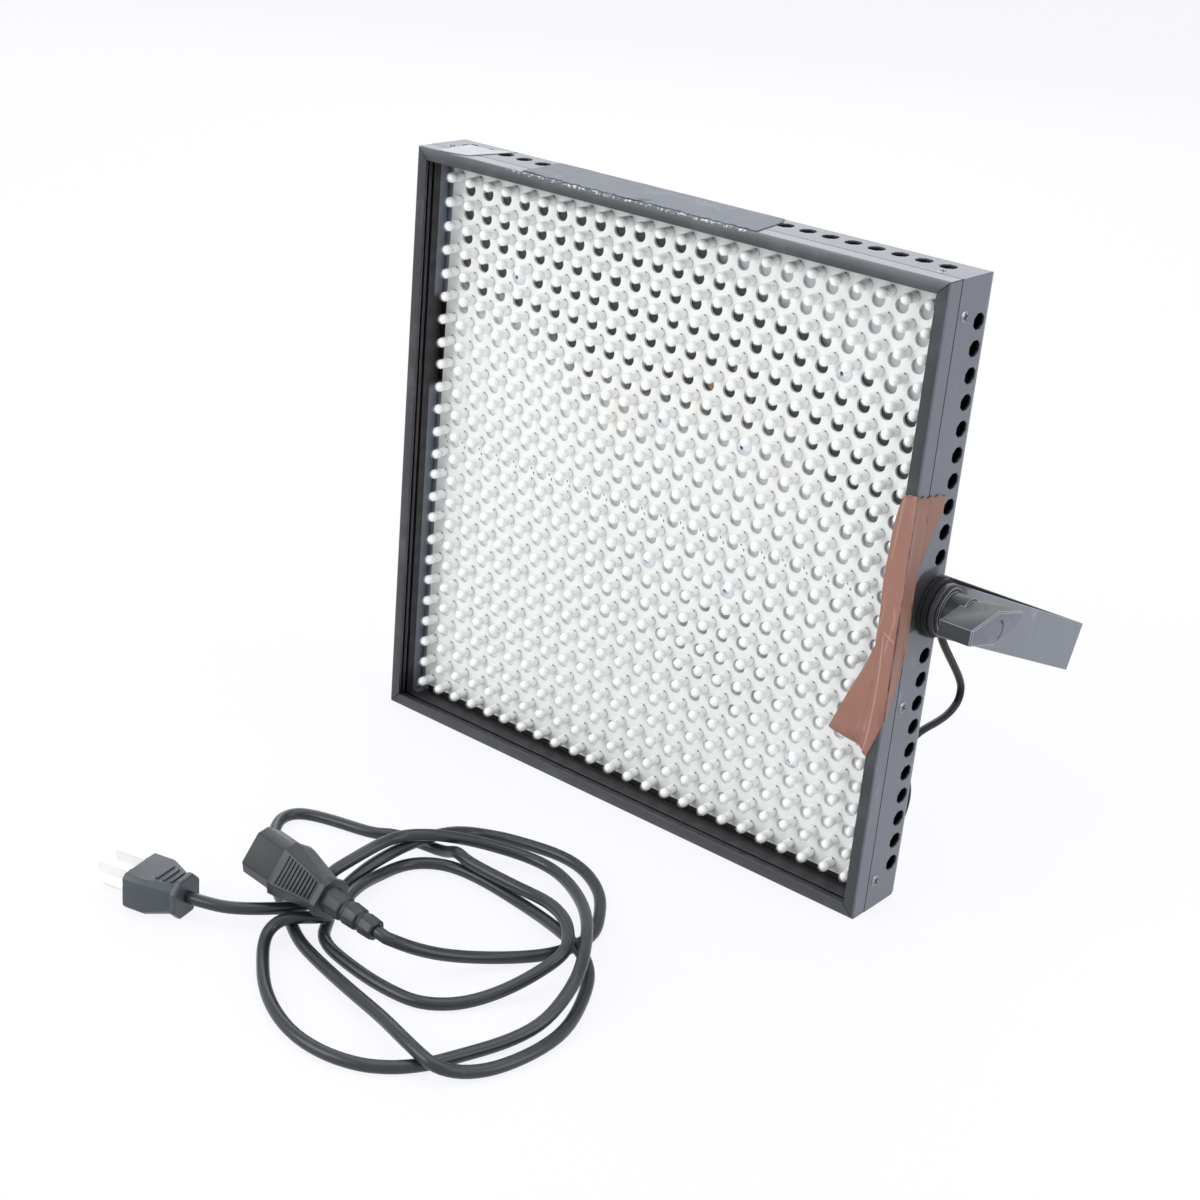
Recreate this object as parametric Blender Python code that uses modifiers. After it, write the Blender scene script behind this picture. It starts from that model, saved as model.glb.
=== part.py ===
"""LED flood light panel with filter frame, yoke and mains lead, standing on its lower side.

Metres, Z up, X to the viewer's right, the light field faces -Y.
The origin lies in the middle of the underside.
"""
import math

import bmesh
import bpy
import numpy as np
from mathutils import Matrix, Vector

MM = 0.001
GAP = 0.3 * MM

# Body
PANEL_SIDE = 321.0 * MM
BODY_DEPTH = 41.0 * MM
HALF = PANEL_SIDE / 2
FRONT_Y = -BODY_DEPTH / 2
REAR_Y = BODY_DEPTH / 2

# Front frame, a folded strip: widths run inward from the outer face, depths from the front
FRAME_EDGE_RADIUS = 1.0 * MM
FRAME_LIP = 6.5 * MM
FRAME_SHEET = 1.6 * MM
SLOT_REAR_START = 5.5 * MM
SLOT_RIB_REACH = 4.2 * MM
SLOT_RIB_THICK = 2.0 * MM
SLOT_SEAT = 9.5 * MM
FRAME_STEP = 10.2 * MM
SKIRT_REAR = 20.5 * MM
MITRE_GAP = 0.15 * MM

# Housing
WALL = 1.5 * MM
REAR_EDGE_RADIUS = 5.0 * MM
VENT_PITCH = 12.65 * MM
VENT_SLOT_HALF = 4.6 * MM
VENT_ALONG_HALF = 3.9 * MM
VENT_MARGIN = 8.0 * MM
SIDE_VENT_MARGIN = 18.0 * MM
SIDE_VENT_DEPTH = 30.5 * MM
TOP_VENT_DEPTH = 25.5 * MM
TOP_VENT_SHIFT = -1.5 * MM
TOP_PLAIN_FROM = -91.0 * MM
TOP_PLAIN_TO = 50.0 * MM
VENT_SIDES = 8

# Light field
LED_PITCH = 12.7 * MM
BOARD_MARGIN = 8.1 * MM
LED_BASE = 4.8 * MM
LED_TAPER = 0.7 * MM
LED_HEIGHT = 10.8 * MM
BOARD_FRONT_DEPTH = 21.0 * MM
BOARD_THICK = 1.6 * MM

# Carrier behind the boards
CARRIER_THICK = 1.2 * MM
CARRIER_RAIL = 20.7 * MM
CARRIER_BAR = 15.0 * MM
FOOT_RADIUS = 3.5 * MM
FOOT_INSET = 10.5 * MM
FOOT_FROM_END = 50.0 * MM
FOOT_BELOW_MIDDLE = 35.5 * MM

# Electronics
SHEET_THICK = 0.8 * MM
SHEET_SIDE_ROOM = 20.5 * MM
SHEET_BOTTOM = 75.0 * MM
SHEET_TOP_ROOM = 21.0 * MM
POWER_BOARD = (120.0 * MM, 90.0 * MM)
POWER_BOARD_CENTRE = (HALF - 80.5 * MM, HALF - 20.5 * MM)
POWER_BOARD_DEPTH = 32.0 * MM
STANDOFF_RADIUS = 2.5 * MM
STANDOFF_INSET = 6.0 * MM
TRANSFORMER_CORE = (34.0 * MM, 26.0 * MM)
TRANSFORMER_BOBBIN = (24.0 * MM, 32.0 * MM)
TRANSFORMER_OFFSET = (-20.0 * MM, 12.0 * MM)
COMPONENT_HEIGHT = 6.7 * MM
BOBBIN_HEIGHT = 5.2 * MM
CAPACITOR_RADIUS = 3.3 * MM
CAPACITOR_LENGTH = 25.0 * MM
CAPACITOR_OFFSET = (18.0 * MM, -18.0 * MM)
HEAT_SINK_WIDTH = 30.0 * MM
HEAT_SINK_LENGTH = 40.0 * MM
HEAT_SINK_OFFSET = (35.0 * MM, 18.0 * MM)
HEAT_SINK_BASE = 1.6 * MM
FIN_COUNT = 6
FIN_THICK = 1.4 * MM

# Pivot and yoke, seen along the pivot axis; distances run outward from the middle plane
PIVOT_FORWARD = 0.6 * MM
PIVOT_HEIGHT = HALF - 0.2 * MM
VENT_BELOW_PIVOT = 0.4 * MM
STUD_RADIUS = 3.0 * MM
STUD_HOLE = 3.4 * MM
STEEL_WASHER_RADIUS = 15.3 * MM
STEEL_WASHER_THICK = 1.4 * MM
RUBBER_WASHER_RADIUS = 14.8 * MM
RUBBER_WASHER_THICK = 2.3 * MM
STRAP_THICK = 3.2 * MM
STRAP_WIDTH = 26.5 * MM
YOKE_REACH = 170.0 * MM
YOKE_TILT = math.radians(-22.6)
BEND_OUTER_RADIUS = 7.2 * MM
BEND_SEGMENTS = 4
CROSSBAR_HOLE = 5.5 * MM
NUT_RADIUS = 5.7 * MM
NUT_THICK = 5.0 * MM

# Clamp knob on the right
KNOB_FLANGE_RADIUS = 12.0 * MM
KNOB_FLANGE_THICK = 1.4 * MM
KNOB_HUB_RADIUS = 10.0 * MM
KNOB_HUB_LENGTH = 9.8 * MM
WING_HEIGHT = 15.2 * MM
WING_HALF_LENGTH = 24.3 * MM
WING_MIDDLE_HALF = 8.5 * MM
WING_TIP_HALF = 3.85 * MM
WING_EDGE = 0.8 * MM
WING_TURN = math.radians(-4.0)
STUD_REACH = 7.2 * MM

# Plain bolt that holds the yoke on the left
BOLT_FLANGE_RADIUS = 8.0 * MM
BOLT_FLANGE_THICK = 1.2 * MM
BOLT_HEAD_RADIUS = 5.8 * MM
BOLT_HEAD_THICK = 4.2 * MM

# Appliance inlet
INLET_X = 60.0 * MM
FITTINGS_HEIGHT = 45.0 * MM
INLET_BODY = (27.3 * MM, 19.8 * MM)
INLET_CAVITY = (24.6 * MM, 16.6 * MM)
INLET_FLANGE = (31.0 * MM, 25.0 * MM)
INLET_FLANGE_THICK = 2.5 * MM
INLET_CHAMFER = 5.0 * MM
INLET_DEPTH = 14.3 * MM
INLET_FLOOR = 1.5 * MM
CONTACT_SPREAD = 7.0 * MM
CONTACT_OFFSET = 2.0 * MM
INLET_PIN = (2.0 * MM, 13.5 * MM, 4.0 * MM)

# Rocker switch
SWITCH_X = 20.0 * MM
SWITCH_BODY = (18.8 * MM, 12.8 * MM)
SWITCH_FLANGE = (21.0 * MM, 15.0 * MM)
SWITCH_CAVITY = (16.4 * MM, 10.2 * MM)
SWITCH_FLANGE_THICK = 1.5 * MM
SWITCH_DEPTH = 11.0 * MM
ROCKER_HALF_LENGTH = 7.2 * MM
ROCKER_HALF_WIDTH = 4.7 * MM
ROCKER_REST = math.radians(10.0)

# Dimmer
DIMMER_X = -20.0 * MM
DIMMER_BORE = 3.3 * MM
DIMMER_NECK = 4.7 * MM
DIMMER_NUT_RADIUS = 7.0 * MM
DIMMER_NUT_THICK = 2.4 * MM
DIMMER_BODY_RADIUS = 8.0 * MM
DIMMER_BODY_LENGTH = 8.0 * MM
DIMMER_SHAFT = 3.0 * MM
DIMMER_KNOB_RADIUS = 8.0 * MM
DIMMER_KNOB_TOP = 7.0 * MM
DIMMER_KNOB_LENGTH = 13.0 * MM

# Rear cable and its grommets
CABLE_RADIUS = 2.0 * MM
CABLE_INSET = 10.5 * MM
CABLE_X = HALF - CABLE_INSET
GROMMET_HEIGHTS = (PIVOT_HEIGHT + 1.7 * MM, 28.0 * MM)
GROMMET_BORE = 2.3 * MM
GROMMET_NECK = 3.7 * MM
GROMMET_FLANGE = 5.3 * MM
GROMMET_FLANGE_THICK = 1.5 * MM
CABLE_SPACING = 8.0 * MM

# Tape
TAPE_THICK = 0.4 * MM
FRONT_TAPE_TOP = 222.6 * MM
FRONT_TAPE_BOTTOM = 109.6 * MM

# Mains lead
CORD_RADIUS = 3.0 * MM
CORD_SPACING = 13.5 * MM
CONNECTOR_END = Vector((35.1, -225.2, 23.0)) * MM
CONNECTOR_FORWARD = Vector((-0.9960, 0.0140, 0.0880))
CONNECTOR_ACROSS = Vector((0.0, 0.55, 0.83))
RELIEF_LENGTH = 30.0 * MM
CONNECTOR_FLANGE = 4.0 * MM
CONNECTOR_COLLAR_END = 60.5 * MM
CONNECTOR_LENGTH = 79.5 * MM
CONTACT_SLOT = (2.6 * MM, 15.0 * MM, 5.0 * MM)
PLUG_END = Vector((-60.0, -254.5, 10.1)) * MM
PLUG_FORWARD = Vector((-0.970, -0.243, 0.0))
PLUG_FLANGE = 3.0 * MM
PLUG_LENGTH = 28.0 * MM
PLUG_HALF_WIDTH = 13.25 * MM
PLUG_HALF_HEIGHT = 9.2 * MM
BLADE_SPREAD = 6.35 * MM
BLADE_HEIGHT = 5.2 * MM
BLADE = (1.5 * MM, 17.5 * MM, 6.3 * MM)
EARTH_DROP = 11.9 * MM
EARTH_RADIUS = 2.4 * MM
EARTH_LENGTH = 20.5 * MM

# Depths of the layers, from the front face
HOUSING_FRONT = FRAME_STEP + GAP
CARRIER_FRONT = BOARD_FRONT_DEPTH + BOARD_THICK + GAP
CARRIER_REAR = CARRIER_FRONT + CARRIER_THICK
PLATE_INNER = BODY_DEPTH - WALL
PIVOT_Y = FRONT_Y + (CARRIER_REAR + PLATE_INNER) / 2 - PIVOT_FORWARD
SHEET_REAR = PLATE_INNER - GAP
SHEET_FRONT = SHEET_REAR - SHEET_THICK

# Counts that follow from the size of the panel
LED_ROWS_PER_BOARD = int((HALF - BOARD_MARGIN) / LED_PITCH + 0.01)
LED_COLUMNS = 2 * LED_ROWS_PER_BOARD
SIDE_VENT_COUNT = 2 * int((HALF - SIDE_VENT_MARGIN) / VENT_PITCH) + 1
TOP_VENT_COUNT = 2 * int((HALF - VENT_MARGIN) / VENT_PITCH)

# Distances of the pivot stack from the middle plane
STEEL_START = HALF + GAP
STEEL_END = STEEL_START + STEEL_WASHER_THICK
RUBBER_START = STEEL_END + GAP
RUBBER_END = RUBBER_START + RUBBER_WASHER_THICK
STRAP_INNER = RUBBER_END + GAP
STRAP_OUTER = STRAP_INNER + STRAP_THICK
KNOB_START = STRAP_OUTER + GAP

# The loose lead: where it runs on the ground, over and under itself, in millimetres
CORD_ROUTE = (
    (49.0, -217.2, 17.6), (56.0, -203.5, 11.0), (65, -186, 6.0), (75, -169, 3.6), (82, -156, 3.1),
    (85, -143, 3.1), (84, -128, 3.1), (74, -112, 3.1), (63, -99, 3.1), (45, -88, 3.1), (27, -85, 3.1),
    (5, -90, 3.1), (-16, -99, 3.1), (-21, -119, 9.6), (-25, -141, 9.8), (-25, -159, 9.7),
    (-26, -172, 7.0), (-24, -190, 3.1), (-16, -203, 3.1), (-7, -215, 3.1), (-1, -223, 3.1),
    (8, -228, 3.1), (20, -230.5, 3.1), (38, -232.5, 3.1), (56, -232, 3.1), (68, -229, 3.1),
    (78, -220, 3.1), (85, -208, 4.0), (91, -194, 7.0), (96, -180, 12.0), (98, -168, 16.3),
    (90, -155.6, 16.8), (80, -146.5, 16.6), (60, -135, 12.0), (42, -133, 10.0), (24, -133, 9.7),
    (5, -133, 10.0), (-3.5, -130.7, 10.2), (-12, -128.4, 5.6), (-21, -127.4, 3.1), (-30, -129, 3.1),
    (-46, -133, 3.1), (-52, -139, 3.1), (-69, -144, 3.1), (-85, -149, 3.1), (-94, -155, 3.1),
    (-95, -164, 3.1),
    (-88, -175, 3.1), (-74, -189, 3.1), (-59, -202, 3.1), (-43, -213, 3.1), (-22, -225, 3.1),
    (-5, -234.5, 3.1), (13, -239.5, 3.1), (38, -246, 4.5), (66, -253, 7.0), (82, -259, 9.7),
    (98, -263, 9.9), (109, -263, 8.0), (116, -254, 4.0), (123, -241, 3.1), (127, -221, 3.1),
    (126, -199, 3.1), (117, -176, 4.0), (108, -161, 7.0), (99, -155, 9.7), (82, -148, 9.7),
    (54, -137, 4.4), (32, -133, 3.1), (13, -132, 3.1), (-4, -134, 3.1), (-15, -141, 3.1),
    (-21, -152, 3.1), (-20, -168, 4.5), (-16, -182, 8.0), (-11, -197, 9.7), (-5, -209, 9.7),
    (-5, -220, 9.7), (-11, -229, 10.7), (-16.5, -235.5, 9.3), (-17.5, -242, 6.0), (-13, -249, 3.6),
    (-4, -257.5, 3.1), (11, -270, 3.1), (29, -280, 3.1), (49, -286, 3.1), (68, -285, 3.1),
    (82, -280, 3.1), (89, -275, 3.1), (95, -269, 3.1), (102, -258, 3.1), (107, -244, 3.1),
    (114, -226, 4.0), (119, -208, 7.0), (117, -190, 11.0), (113.5, -176, 16.3), (100.2, -155.4, 16.9),
    (84, -135, 14.0), (63, -116, 9.0), (40, -103, 6.0), (22, -102, 6.0), (4, -111, 9.0),
    (-8, -123, 13.0), (-17, -136, 16.3), (-26, -148, 16.3), (-27, -162, 16.6), (-28, -172, 15.0),
    (-29, -183, 13.0), (-30, -192, 10.5), (-23, -204, 9.7), (-18.5, -213, 9.7), (-19, -222, 9.7),
    (-25, -230.5, 9.7), (-33, -240, 9.8), (-42, -248, 10.0),
)

# The rear cable between its grommets: distance to the side, backward and up, in millimetres
CABLE_ROUTE = (
    (150, 33, 150), (150, 43.6, 131), (150, 57.5, 115), (150, 69.6, 101.5), (150, 74.5, 93.5),
    (150, 73.8, 86.5), (150, 66.5, 82), (150, 55, 80.5), (149.5, 42, 80), (149, 33.6, 77.6),
    (149.4, 28.9, 70.5), (151.6, 27.3, 61.5), (153.8, 27.3, 53), (153.6, 28, 44), (152, 28, 35.5),
)

PARTS = "led_flood_light_panel"
CUTTERS = "cutters"


def remove_everything():
    for obj in list(bpy.data.objects):
        bpy.data.objects.remove(obj, do_unlink=True)


def collection(name):
    found = bpy.data.collections.get(name)
    if found is None:
        found = bpy.data.collections.new(name)
        bpy.context.scene.collection.children.link(found)
    return found


def add_object(name, bm):
    bmesh.ops.recalc_face_normals(bm, faces=bm.faces)
    mesh = bpy.data.meshes.new(name)
    bm.to_mesh(mesh)
    bm.free()
    obj = bpy.data.objects.new(name, mesh)
    collection(PARTS).objects.link(obj)
    return obj


def empty(name, location, rotation=(0.0, 0.0, 0.0)):
    obj = bpy.data.objects.new(name, None)
    obj.location = location
    obj.rotation_euler = rotation
    collection(PARTS).objects.link(obj)
    return obj


def paint(obj, colour, roughness, metallic=0.0):
    mat = bpy.data.materials.new(obj.name)
    mat.use_nodes = True
    shader = mat.node_tree.nodes["Principled BSDF"]
    shader.inputs["Base Color"].default_value = (*colour, 1.0)
    shader.inputs["Roughness"].default_value = roughness
    shader.inputs["Metallic"].default_value = metallic
    obj.data.materials.append(mat)
    return obj


def shade_round(obj, angle=35.0):
    obj.data.shade_smooth()
    obj.data.set_sharp_from_angle(angle=math.radians(angle))
    return obj


def as_cutter(obj):
    collection(PARTS).objects.unlink(obj)
    collection(CUTTERS).objects.link(obj)
    obj.hide_render = True
    obj.display_type = 'WIRE'
    return obj


def boolean(obj, other, operation):
    mod = obj.modifiers.new(other.name, 'BOOLEAN')
    mod.operation = operation
    mod.solver = 'EXACT'
    mod.object = as_cutter(other)
    return obj


def cut(obj, other):
    return boolean(obj, other, 'DIFFERENCE')


def join(obj, other):
    return boolean(obj, other, 'UNION')


def solidify(obj, thickness, offset):
    mod = obj.modifiers.new("thickness", 'SOLIDIFY')
    mod.thickness = thickness
    mod.offset = offset
    mod.use_even_offset = True
    return obj


def add_box(bm, low, high):
    corners = bmesh.ops.create_cube(bm, size=1.0)["verts"]
    size = Vector(high) - Vector(low)
    middle = (Vector(high) + Vector(low)) / 2
    bmesh.ops.scale(bm, vec=size, verts=corners)
    bmesh.ops.translate(bm, vec=middle, verts=corners)
    return corners


def box(name, low, high):
    bm = bmesh.new()
    add_box(bm, low, high)
    return add_object(name, bm)


def add_loft(bm, sections):
    """Sweeps a face through equal-sized sections, each a list of corners."""
    first = bm.faces.new([bm.verts.new(corner) for corner in sections[0]])
    face = first
    for section in sections[1:]:
        grown = bmesh.ops.extrude_face_region(bm, geom=[face])["geom"]
        if face is not first:
            bmesh.ops.delete(bm, geom=[face], context='FACES_ONLY')
        face = next(item for item in grown if isinstance(item, bmesh.types.BMFace))
        for vert, corner in zip(face.verts, section):
            vert.co = corner


def loft(name, sections):
    bm = bmesh.new()
    add_loft(bm, sections)
    return add_object(name, bm)


def prism_y(name, outline, start, end):
    """A straight bar along Y with an outline of (x, z) corners."""
    return loft(name, [[(x, y, z) for x, z in outline] for y in (start, end)])


def prism_z(name, outline, start, end):
    """A straight bar along Z with an outline of (x, y) corners."""
    return loft(name, [[(x, y, z) for x, y in outline] for z in (start, end)])


def polygon(sides, radius_x, radius_y, centre=(0.0, 0.0)):
    """A polygon that has a flat side toward each axis."""
    half_step = math.pi / sides
    reach = 1.0 / math.cos(half_step)
    turns = [half_step * (2 * k + 1) for k in range(sides)]
    return [(centre[0] + radius_x * reach * math.cos(turn), centre[1] + radius_y * reach * math.sin(turn))
            for turn in turns]


def chamfered(width, height, top, bottom=0.0, centre=(0.0, 0.0)):
    """A rectangle that has its upper and lower corners cut."""
    half_w = width / 2
    half_h = height / 2
    corners = [(half_w, -half_h + bottom), (half_w, half_h - top), (half_w - top, half_h),
               (-half_w + top, half_h), (-half_w, half_h - top), (-half_w, -half_h + bottom)]
    if bottom:
        corners += [(-half_w + bottom, -half_h), (half_w - bottom, -half_h)]
    return [(x + centre[0], z + centre[1]) for x, z in corners]


def turned(name, profile, steps, ring=False):
    """A body turned about local Z from a profile of (radius, height), top to bottom."""
    bm = bmesh.new()
    verts = [bm.verts.new((radius, 0.0, height)) for radius, height in profile]
    for first, second in zip(verts, verts[1:]):
        bm.edges.new((first, second))
    if ring:
        bm.edges.new((verts[-1], verts[0]))
    mesh = bpy.data.meshes.new(name)
    bm.to_mesh(mesh)
    bm.free()
    obj = bpy.data.objects.new(name, mesh)
    collection(PARTS).objects.link(obj)
    mod = obj.modifiers.new("turn", 'SCREW')
    mod.steps = steps
    mod.render_steps = steps
    mod.use_merge_vertices = True
    mod.merge_threshold = 0.00001
    mod.use_smooth_shade = True
    return obj


def flat_plate(name, outlines, thickness):
    """A plate in local XY, centred on its thickness, from closed outlines; inner ones are windows."""
    curve = bpy.data.curves.new(name, 'CURVE')
    curve.dimensions = '2D'
    curve.fill_mode = 'BOTH'
    curve.extrude = thickness / 2
    for outline in outlines:
        spline = curve.splines.new('POLY')
        spline.points.add(len(outline) - 1)
        spline.use_cyclic_u = True
        for point, (x, y) in zip(spline.points, outline):
            point.co = (x, y, 0.0, 1.0)
    return curve_to_mesh(name, curve)


def curve_to_mesh(name, curve):
    holder = bpy.data.objects.new(name + "_curve", curve)
    collection(PARTS).objects.link(holder)
    bpy.context.view_layer.update()
    graph = bpy.context.evaluated_depsgraph_get()
    mesh = bpy.data.meshes.new_from_object(holder.evaluated_get(graph))
    bpy.data.objects.remove(holder, do_unlink=True)
    bpy.data.curves.remove(curve)
    bm = bmesh.new()
    bm.from_mesh(mesh)
    bpy.data.meshes.remove(mesh)
    bmesh.ops.remove_doubles(bm, verts=bm.verts, dist=0.000005)
    return add_object(name, bm)


def rectangle(low, high):
    return [(low[0], low[1]), (high[0], low[1]), (high[0], high[1]), (low[0], high[1])]


def at_depth(depth):
    return FRONT_Y + depth


# Front frame

def frame_profile():
    """Corners of the folded strip as (inward, depth), once round."""
    edge = FRAME_EDGE_RADIUS
    rib_end = SLOT_REAR_START + SLOT_RIB_THICK
    skirt = WALL + GAP
    return [
        (edge, 0.0), (FRAME_LIP, 0.0), (FRAME_LIP, FRAME_SHEET), (FRAME_SHEET, FRAME_SHEET),
        (FRAME_SHEET, SLOT_REAR_START), (SLOT_RIB_REACH, SLOT_REAR_START), (SLOT_RIB_REACH, rib_end),
        (FRAME_SHEET, rib_end), (FRAME_SHEET, SLOT_SEAT), (SLOT_RIB_REACH, SLOT_SEAT),
        (SLOT_RIB_REACH, SKIRT_REAR), (skirt, SKIRT_REAR), (skirt, FRAME_STEP), (0.0, FRAME_STEP),
        (0.0, edge), (edge * 0.3, edge * 0.3),
    ]


def frame_member(name, quarter_turns):
    """One mitred member, drawn as the lower one and turned about the middle of the light field."""
    profile = frame_profile()
    ends = []
    for side in (-1.0, 1.0):
        ends.append([(side * (HALF - inward - MITRE_GAP), at_depth(depth), inward - HALF)
                     for inward, depth in profile])
    member = loft(name, ends)
    member.location = (0.0, 0.0, HALF)
    member.rotation_euler = (0.0, -math.pi / 2 * quarter_turns, 0.0)
    return paint(member, (0.045, 0.050, 0.055), 0.45)


def build_frame():
    frame_member("frame_bottom", 0)
    frame_member("frame_right", 1)
    frame_member("frame_top", 2)
    frame_member("frame_left", 3)


# Housing

def pan_surface():
    """The outer skin of the pan, open at the front, with rounded edges round its rear plate."""
    bm = bmesh.new()
    add_box(bm, (-HALF, at_depth(HOUSING_FRONT), 0.0), (HALF, REAR_Y, PANEL_SIDE))
    opening = [face for face in bm.faces if face.normal.y < -0.5]
    bmesh.ops.delete(bm, geom=opening, context='FACES')
    middle = at_depth(BODY_DEPTH / 2)
    rear_edges = [edge for edge in bm.edges if all(vert.co.y > middle for vert in edge.verts)]
    bmesh.ops.bevel(bm, geom=rear_edges, offset=REAR_EDGE_RADIUS, offset_type='OFFSET', segments=3,
                    profile=0.5, affect='EDGES')
    return bm


def vent_outline(along, across):
    return polygon(VENT_SIDES, along, across)


def side_vents():
    """The cooling holes of both sides; the middle three places make room for the pivot."""
    bm = bmesh.new()
    reach = HALF + WALL
    inner = HALF - 2 * WALL
    middle = SIDE_VENT_COUNT // 2
    for place in range(SIDE_VENT_COUNT):
        if abs(place - middle) <= 1:
            continue
        height = PIVOT_HEIGHT - VENT_BELOW_PIVOT + (place - middle) * VENT_PITCH
        outline = vent_outline(VENT_SLOT_HALF, VENT_ALONG_HALF)
        for start, end in ((-reach, -inner), (inner, reach)):
            ends = [[(x, at_depth(SIDE_VENT_DEPTH) + y, height + z) for y, z in outline]
                    for x in (start, end)]
            add_loft(bm, ends)
    return add_object("side_vents", bm)


def top_vents():
    """The cooling holes of the top, left and right of its plain middle."""
    bm = bmesh.new()
    middle = (TOP_VENT_COUNT - 1) / 2
    for place in range(TOP_VENT_COUNT):
        centre = TOP_VENT_SHIFT + (place - middle) * VENT_PITCH
        if TOP_PLAIN_FROM < centre < TOP_PLAIN_TO:
            continue
        outline = vent_outline(VENT_ALONG_HALF, VENT_SLOT_HALF)
        ends = [[(centre + x, at_depth(TOP_VENT_DEPTH) + y, z) for x, y in outline]
                for z in (PANEL_SIDE - 2 * WALL, PANEL_SIDE + WALL)]
        add_loft(bm, ends)
    return add_object("top_vents", bm)


def rear_cut_outs():
    """The openings of the rear plate: inlet, switch, dimmer and the two cable holes."""
    bm = bmesh.new()
    start = REAR_Y - 2 * WALL
    end = REAR_Y + WALL
    outlines = [
        chamfered(INLET_BODY[0] + 2 * GAP, INLET_BODY[1] + 2 * GAP, INLET_CHAMFER,
                  centre=(INLET_X, FITTINGS_HEIGHT)),
        rectangle((SWITCH_X - SWITCH_BODY[0] / 2 - GAP, FITTINGS_HEIGHT - SWITCH_BODY[1] / 2 - GAP),
                  (SWITCH_X + SWITCH_BODY[0] / 2 + GAP, FITTINGS_HEIGHT + SWITCH_BODY[1] / 2 + GAP)),
        polygon(16, DIMMER_NECK + GAP, DIMMER_NECK + GAP, (DIMMER_X, FITTINGS_HEIGHT)),
    ]
    for height in GROMMET_HEIGHTS:
        outlines.append(polygon(16, GROMMET_NECK + GAP, GROMMET_NECK + GAP, (CABLE_X, height)))
    for outline in outlines:
        add_loft(bm, [[(x, y, z) for x, z in outline] for y in (start, end)])
    return add_object("rear_cut_outs", bm)


def pivot_bore(name, reach):
    """A bar along X through both pivots."""
    outline = polygon(20, STUD_HOLE, STUD_HOLE)
    ends = [[(x, y, z) for y, z in outline] for x in (-reach, reach)]
    return loft(name, ends)


def build_housing():
    housing = add_object("housing", pan_surface())
    solidify(housing, WALL, -1.0)
    cut(housing, side_vents())
    cut(housing, top_vents())
    cut(housing, rear_cut_outs())
    bore = pivot_bore("housing_pivot_bore", HALF + WALL)
    bore.location = (0.0, PIVOT_Y, PIVOT_HEIGHT)
    cut(housing, bore)
    paint(housing, (0.055, 0.060, 0.065), 0.5)


# Light field

def led_board(name, upper):
    """A board of LEDs: each grid cell is drawn in to one LED and pulled out to its height."""
    width = LED_COLUMNS * LED_PITCH
    height = LED_ROWS_PER_BOARD * LED_PITCH
    bm = bmesh.new()
    bmesh.ops.create_grid(bm, x_segments=LED_COLUMNS, y_segments=LED_ROWS_PER_BOARD, size=0.5)
    bmesh.ops.scale(bm, vec=(width, height, 1.0), verts=bm.verts)
    seam = -height / 2 if upper else height / 2
    for vert in bm.verts:
        if abs(vert.co.y - seam) < LED_TAPER:
            vert.co.y -= math.copysign(GAP / 2, seam)
    cells = list(bm.faces)
    bmesh.ops.inset_individual(bm, faces=cells, thickness=(LED_PITCH - LED_BASE) / 2, depth=0.0,
                               use_even_offset=True)
    bmesh.ops.inset_individual(bm, faces=cells, thickness=LED_TAPER, depth=LED_HEIGHT,
                               use_even_offset=True)
    rim = [edge for edge in bm.edges if edge.is_boundary]
    grown = bmesh.ops.extrude_edge_only(bm, edges=rim)["geom"]
    back = [item for item in grown if isinstance(item, bmesh.types.BMVert)]
    bmesh.ops.translate(bm, vec=(0.0, 0.0, -BOARD_THICK), verts=back)
    bmesh.ops.edgeloop_fill(bm, edges=[edge for edge in bm.edges if edge.is_boundary])
    board = add_object(name, bm)
    board.location = (0.0, at_depth(BOARD_FRONT_DEPTH), HALF - seam)
    board.rotation_euler = (math.pi / 2, 0.0, 0.0)
    return paint(board, (0.80, 0.80, 0.78), 0.35)


def carrier_feet():
    bm = bmesh.new()
    for side in (-1.0, 1.0):
        for height in (FOOT_FROM_END, HALF - FOOT_BELOW_MIDDLE, PANEL_SIDE - FOOT_FROM_END):
            outline = polygon(8, FOOT_RADIUS, FOOT_RADIUS, (side * (HALF - FOOT_INSET), height))
            ends = [[(x, at_depth(depth), z) for x, z in outline]
                    for depth in (CARRIER_FRONT + CARRIER_THICK / 2, PLATE_INNER - GAP)]
            add_loft(bm, ends)
    return add_object("carrier_feet", bm)


def build_carrier():
    """The plate behind the boards, with a window behind each and feet that stand on the rear plate."""
    edge = HALF - WALL - GAP
    inner = edge - CARRIER_RAIL
    outer = rectangle((-edge, -edge), (edge, edge))
    upper = rectangle((-inner, CARRIER_BAR / 2), (inner, inner))
    lower = rectangle((-inner, -inner), (inner, -CARRIER_BAR / 2))
    carrier = flat_plate("led_carrier", [outer, upper, lower], CARRIER_THICK)
    carrier.location = (0.0, at_depth(CARRIER_FRONT + CARRIER_THICK / 2), HALF)
    carrier.rotation_euler = (math.pi / 2, 0.0, 0.0)
    join(carrier, carrier_feet())
    paint(carrier, (0.02, 0.02, 0.022), 0.55)


# Electronics

def on_board(offset):
    return POWER_BOARD_CENTRE[0] + offset[0], POWER_BOARD_CENTRE[1] + offset[1]


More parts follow.
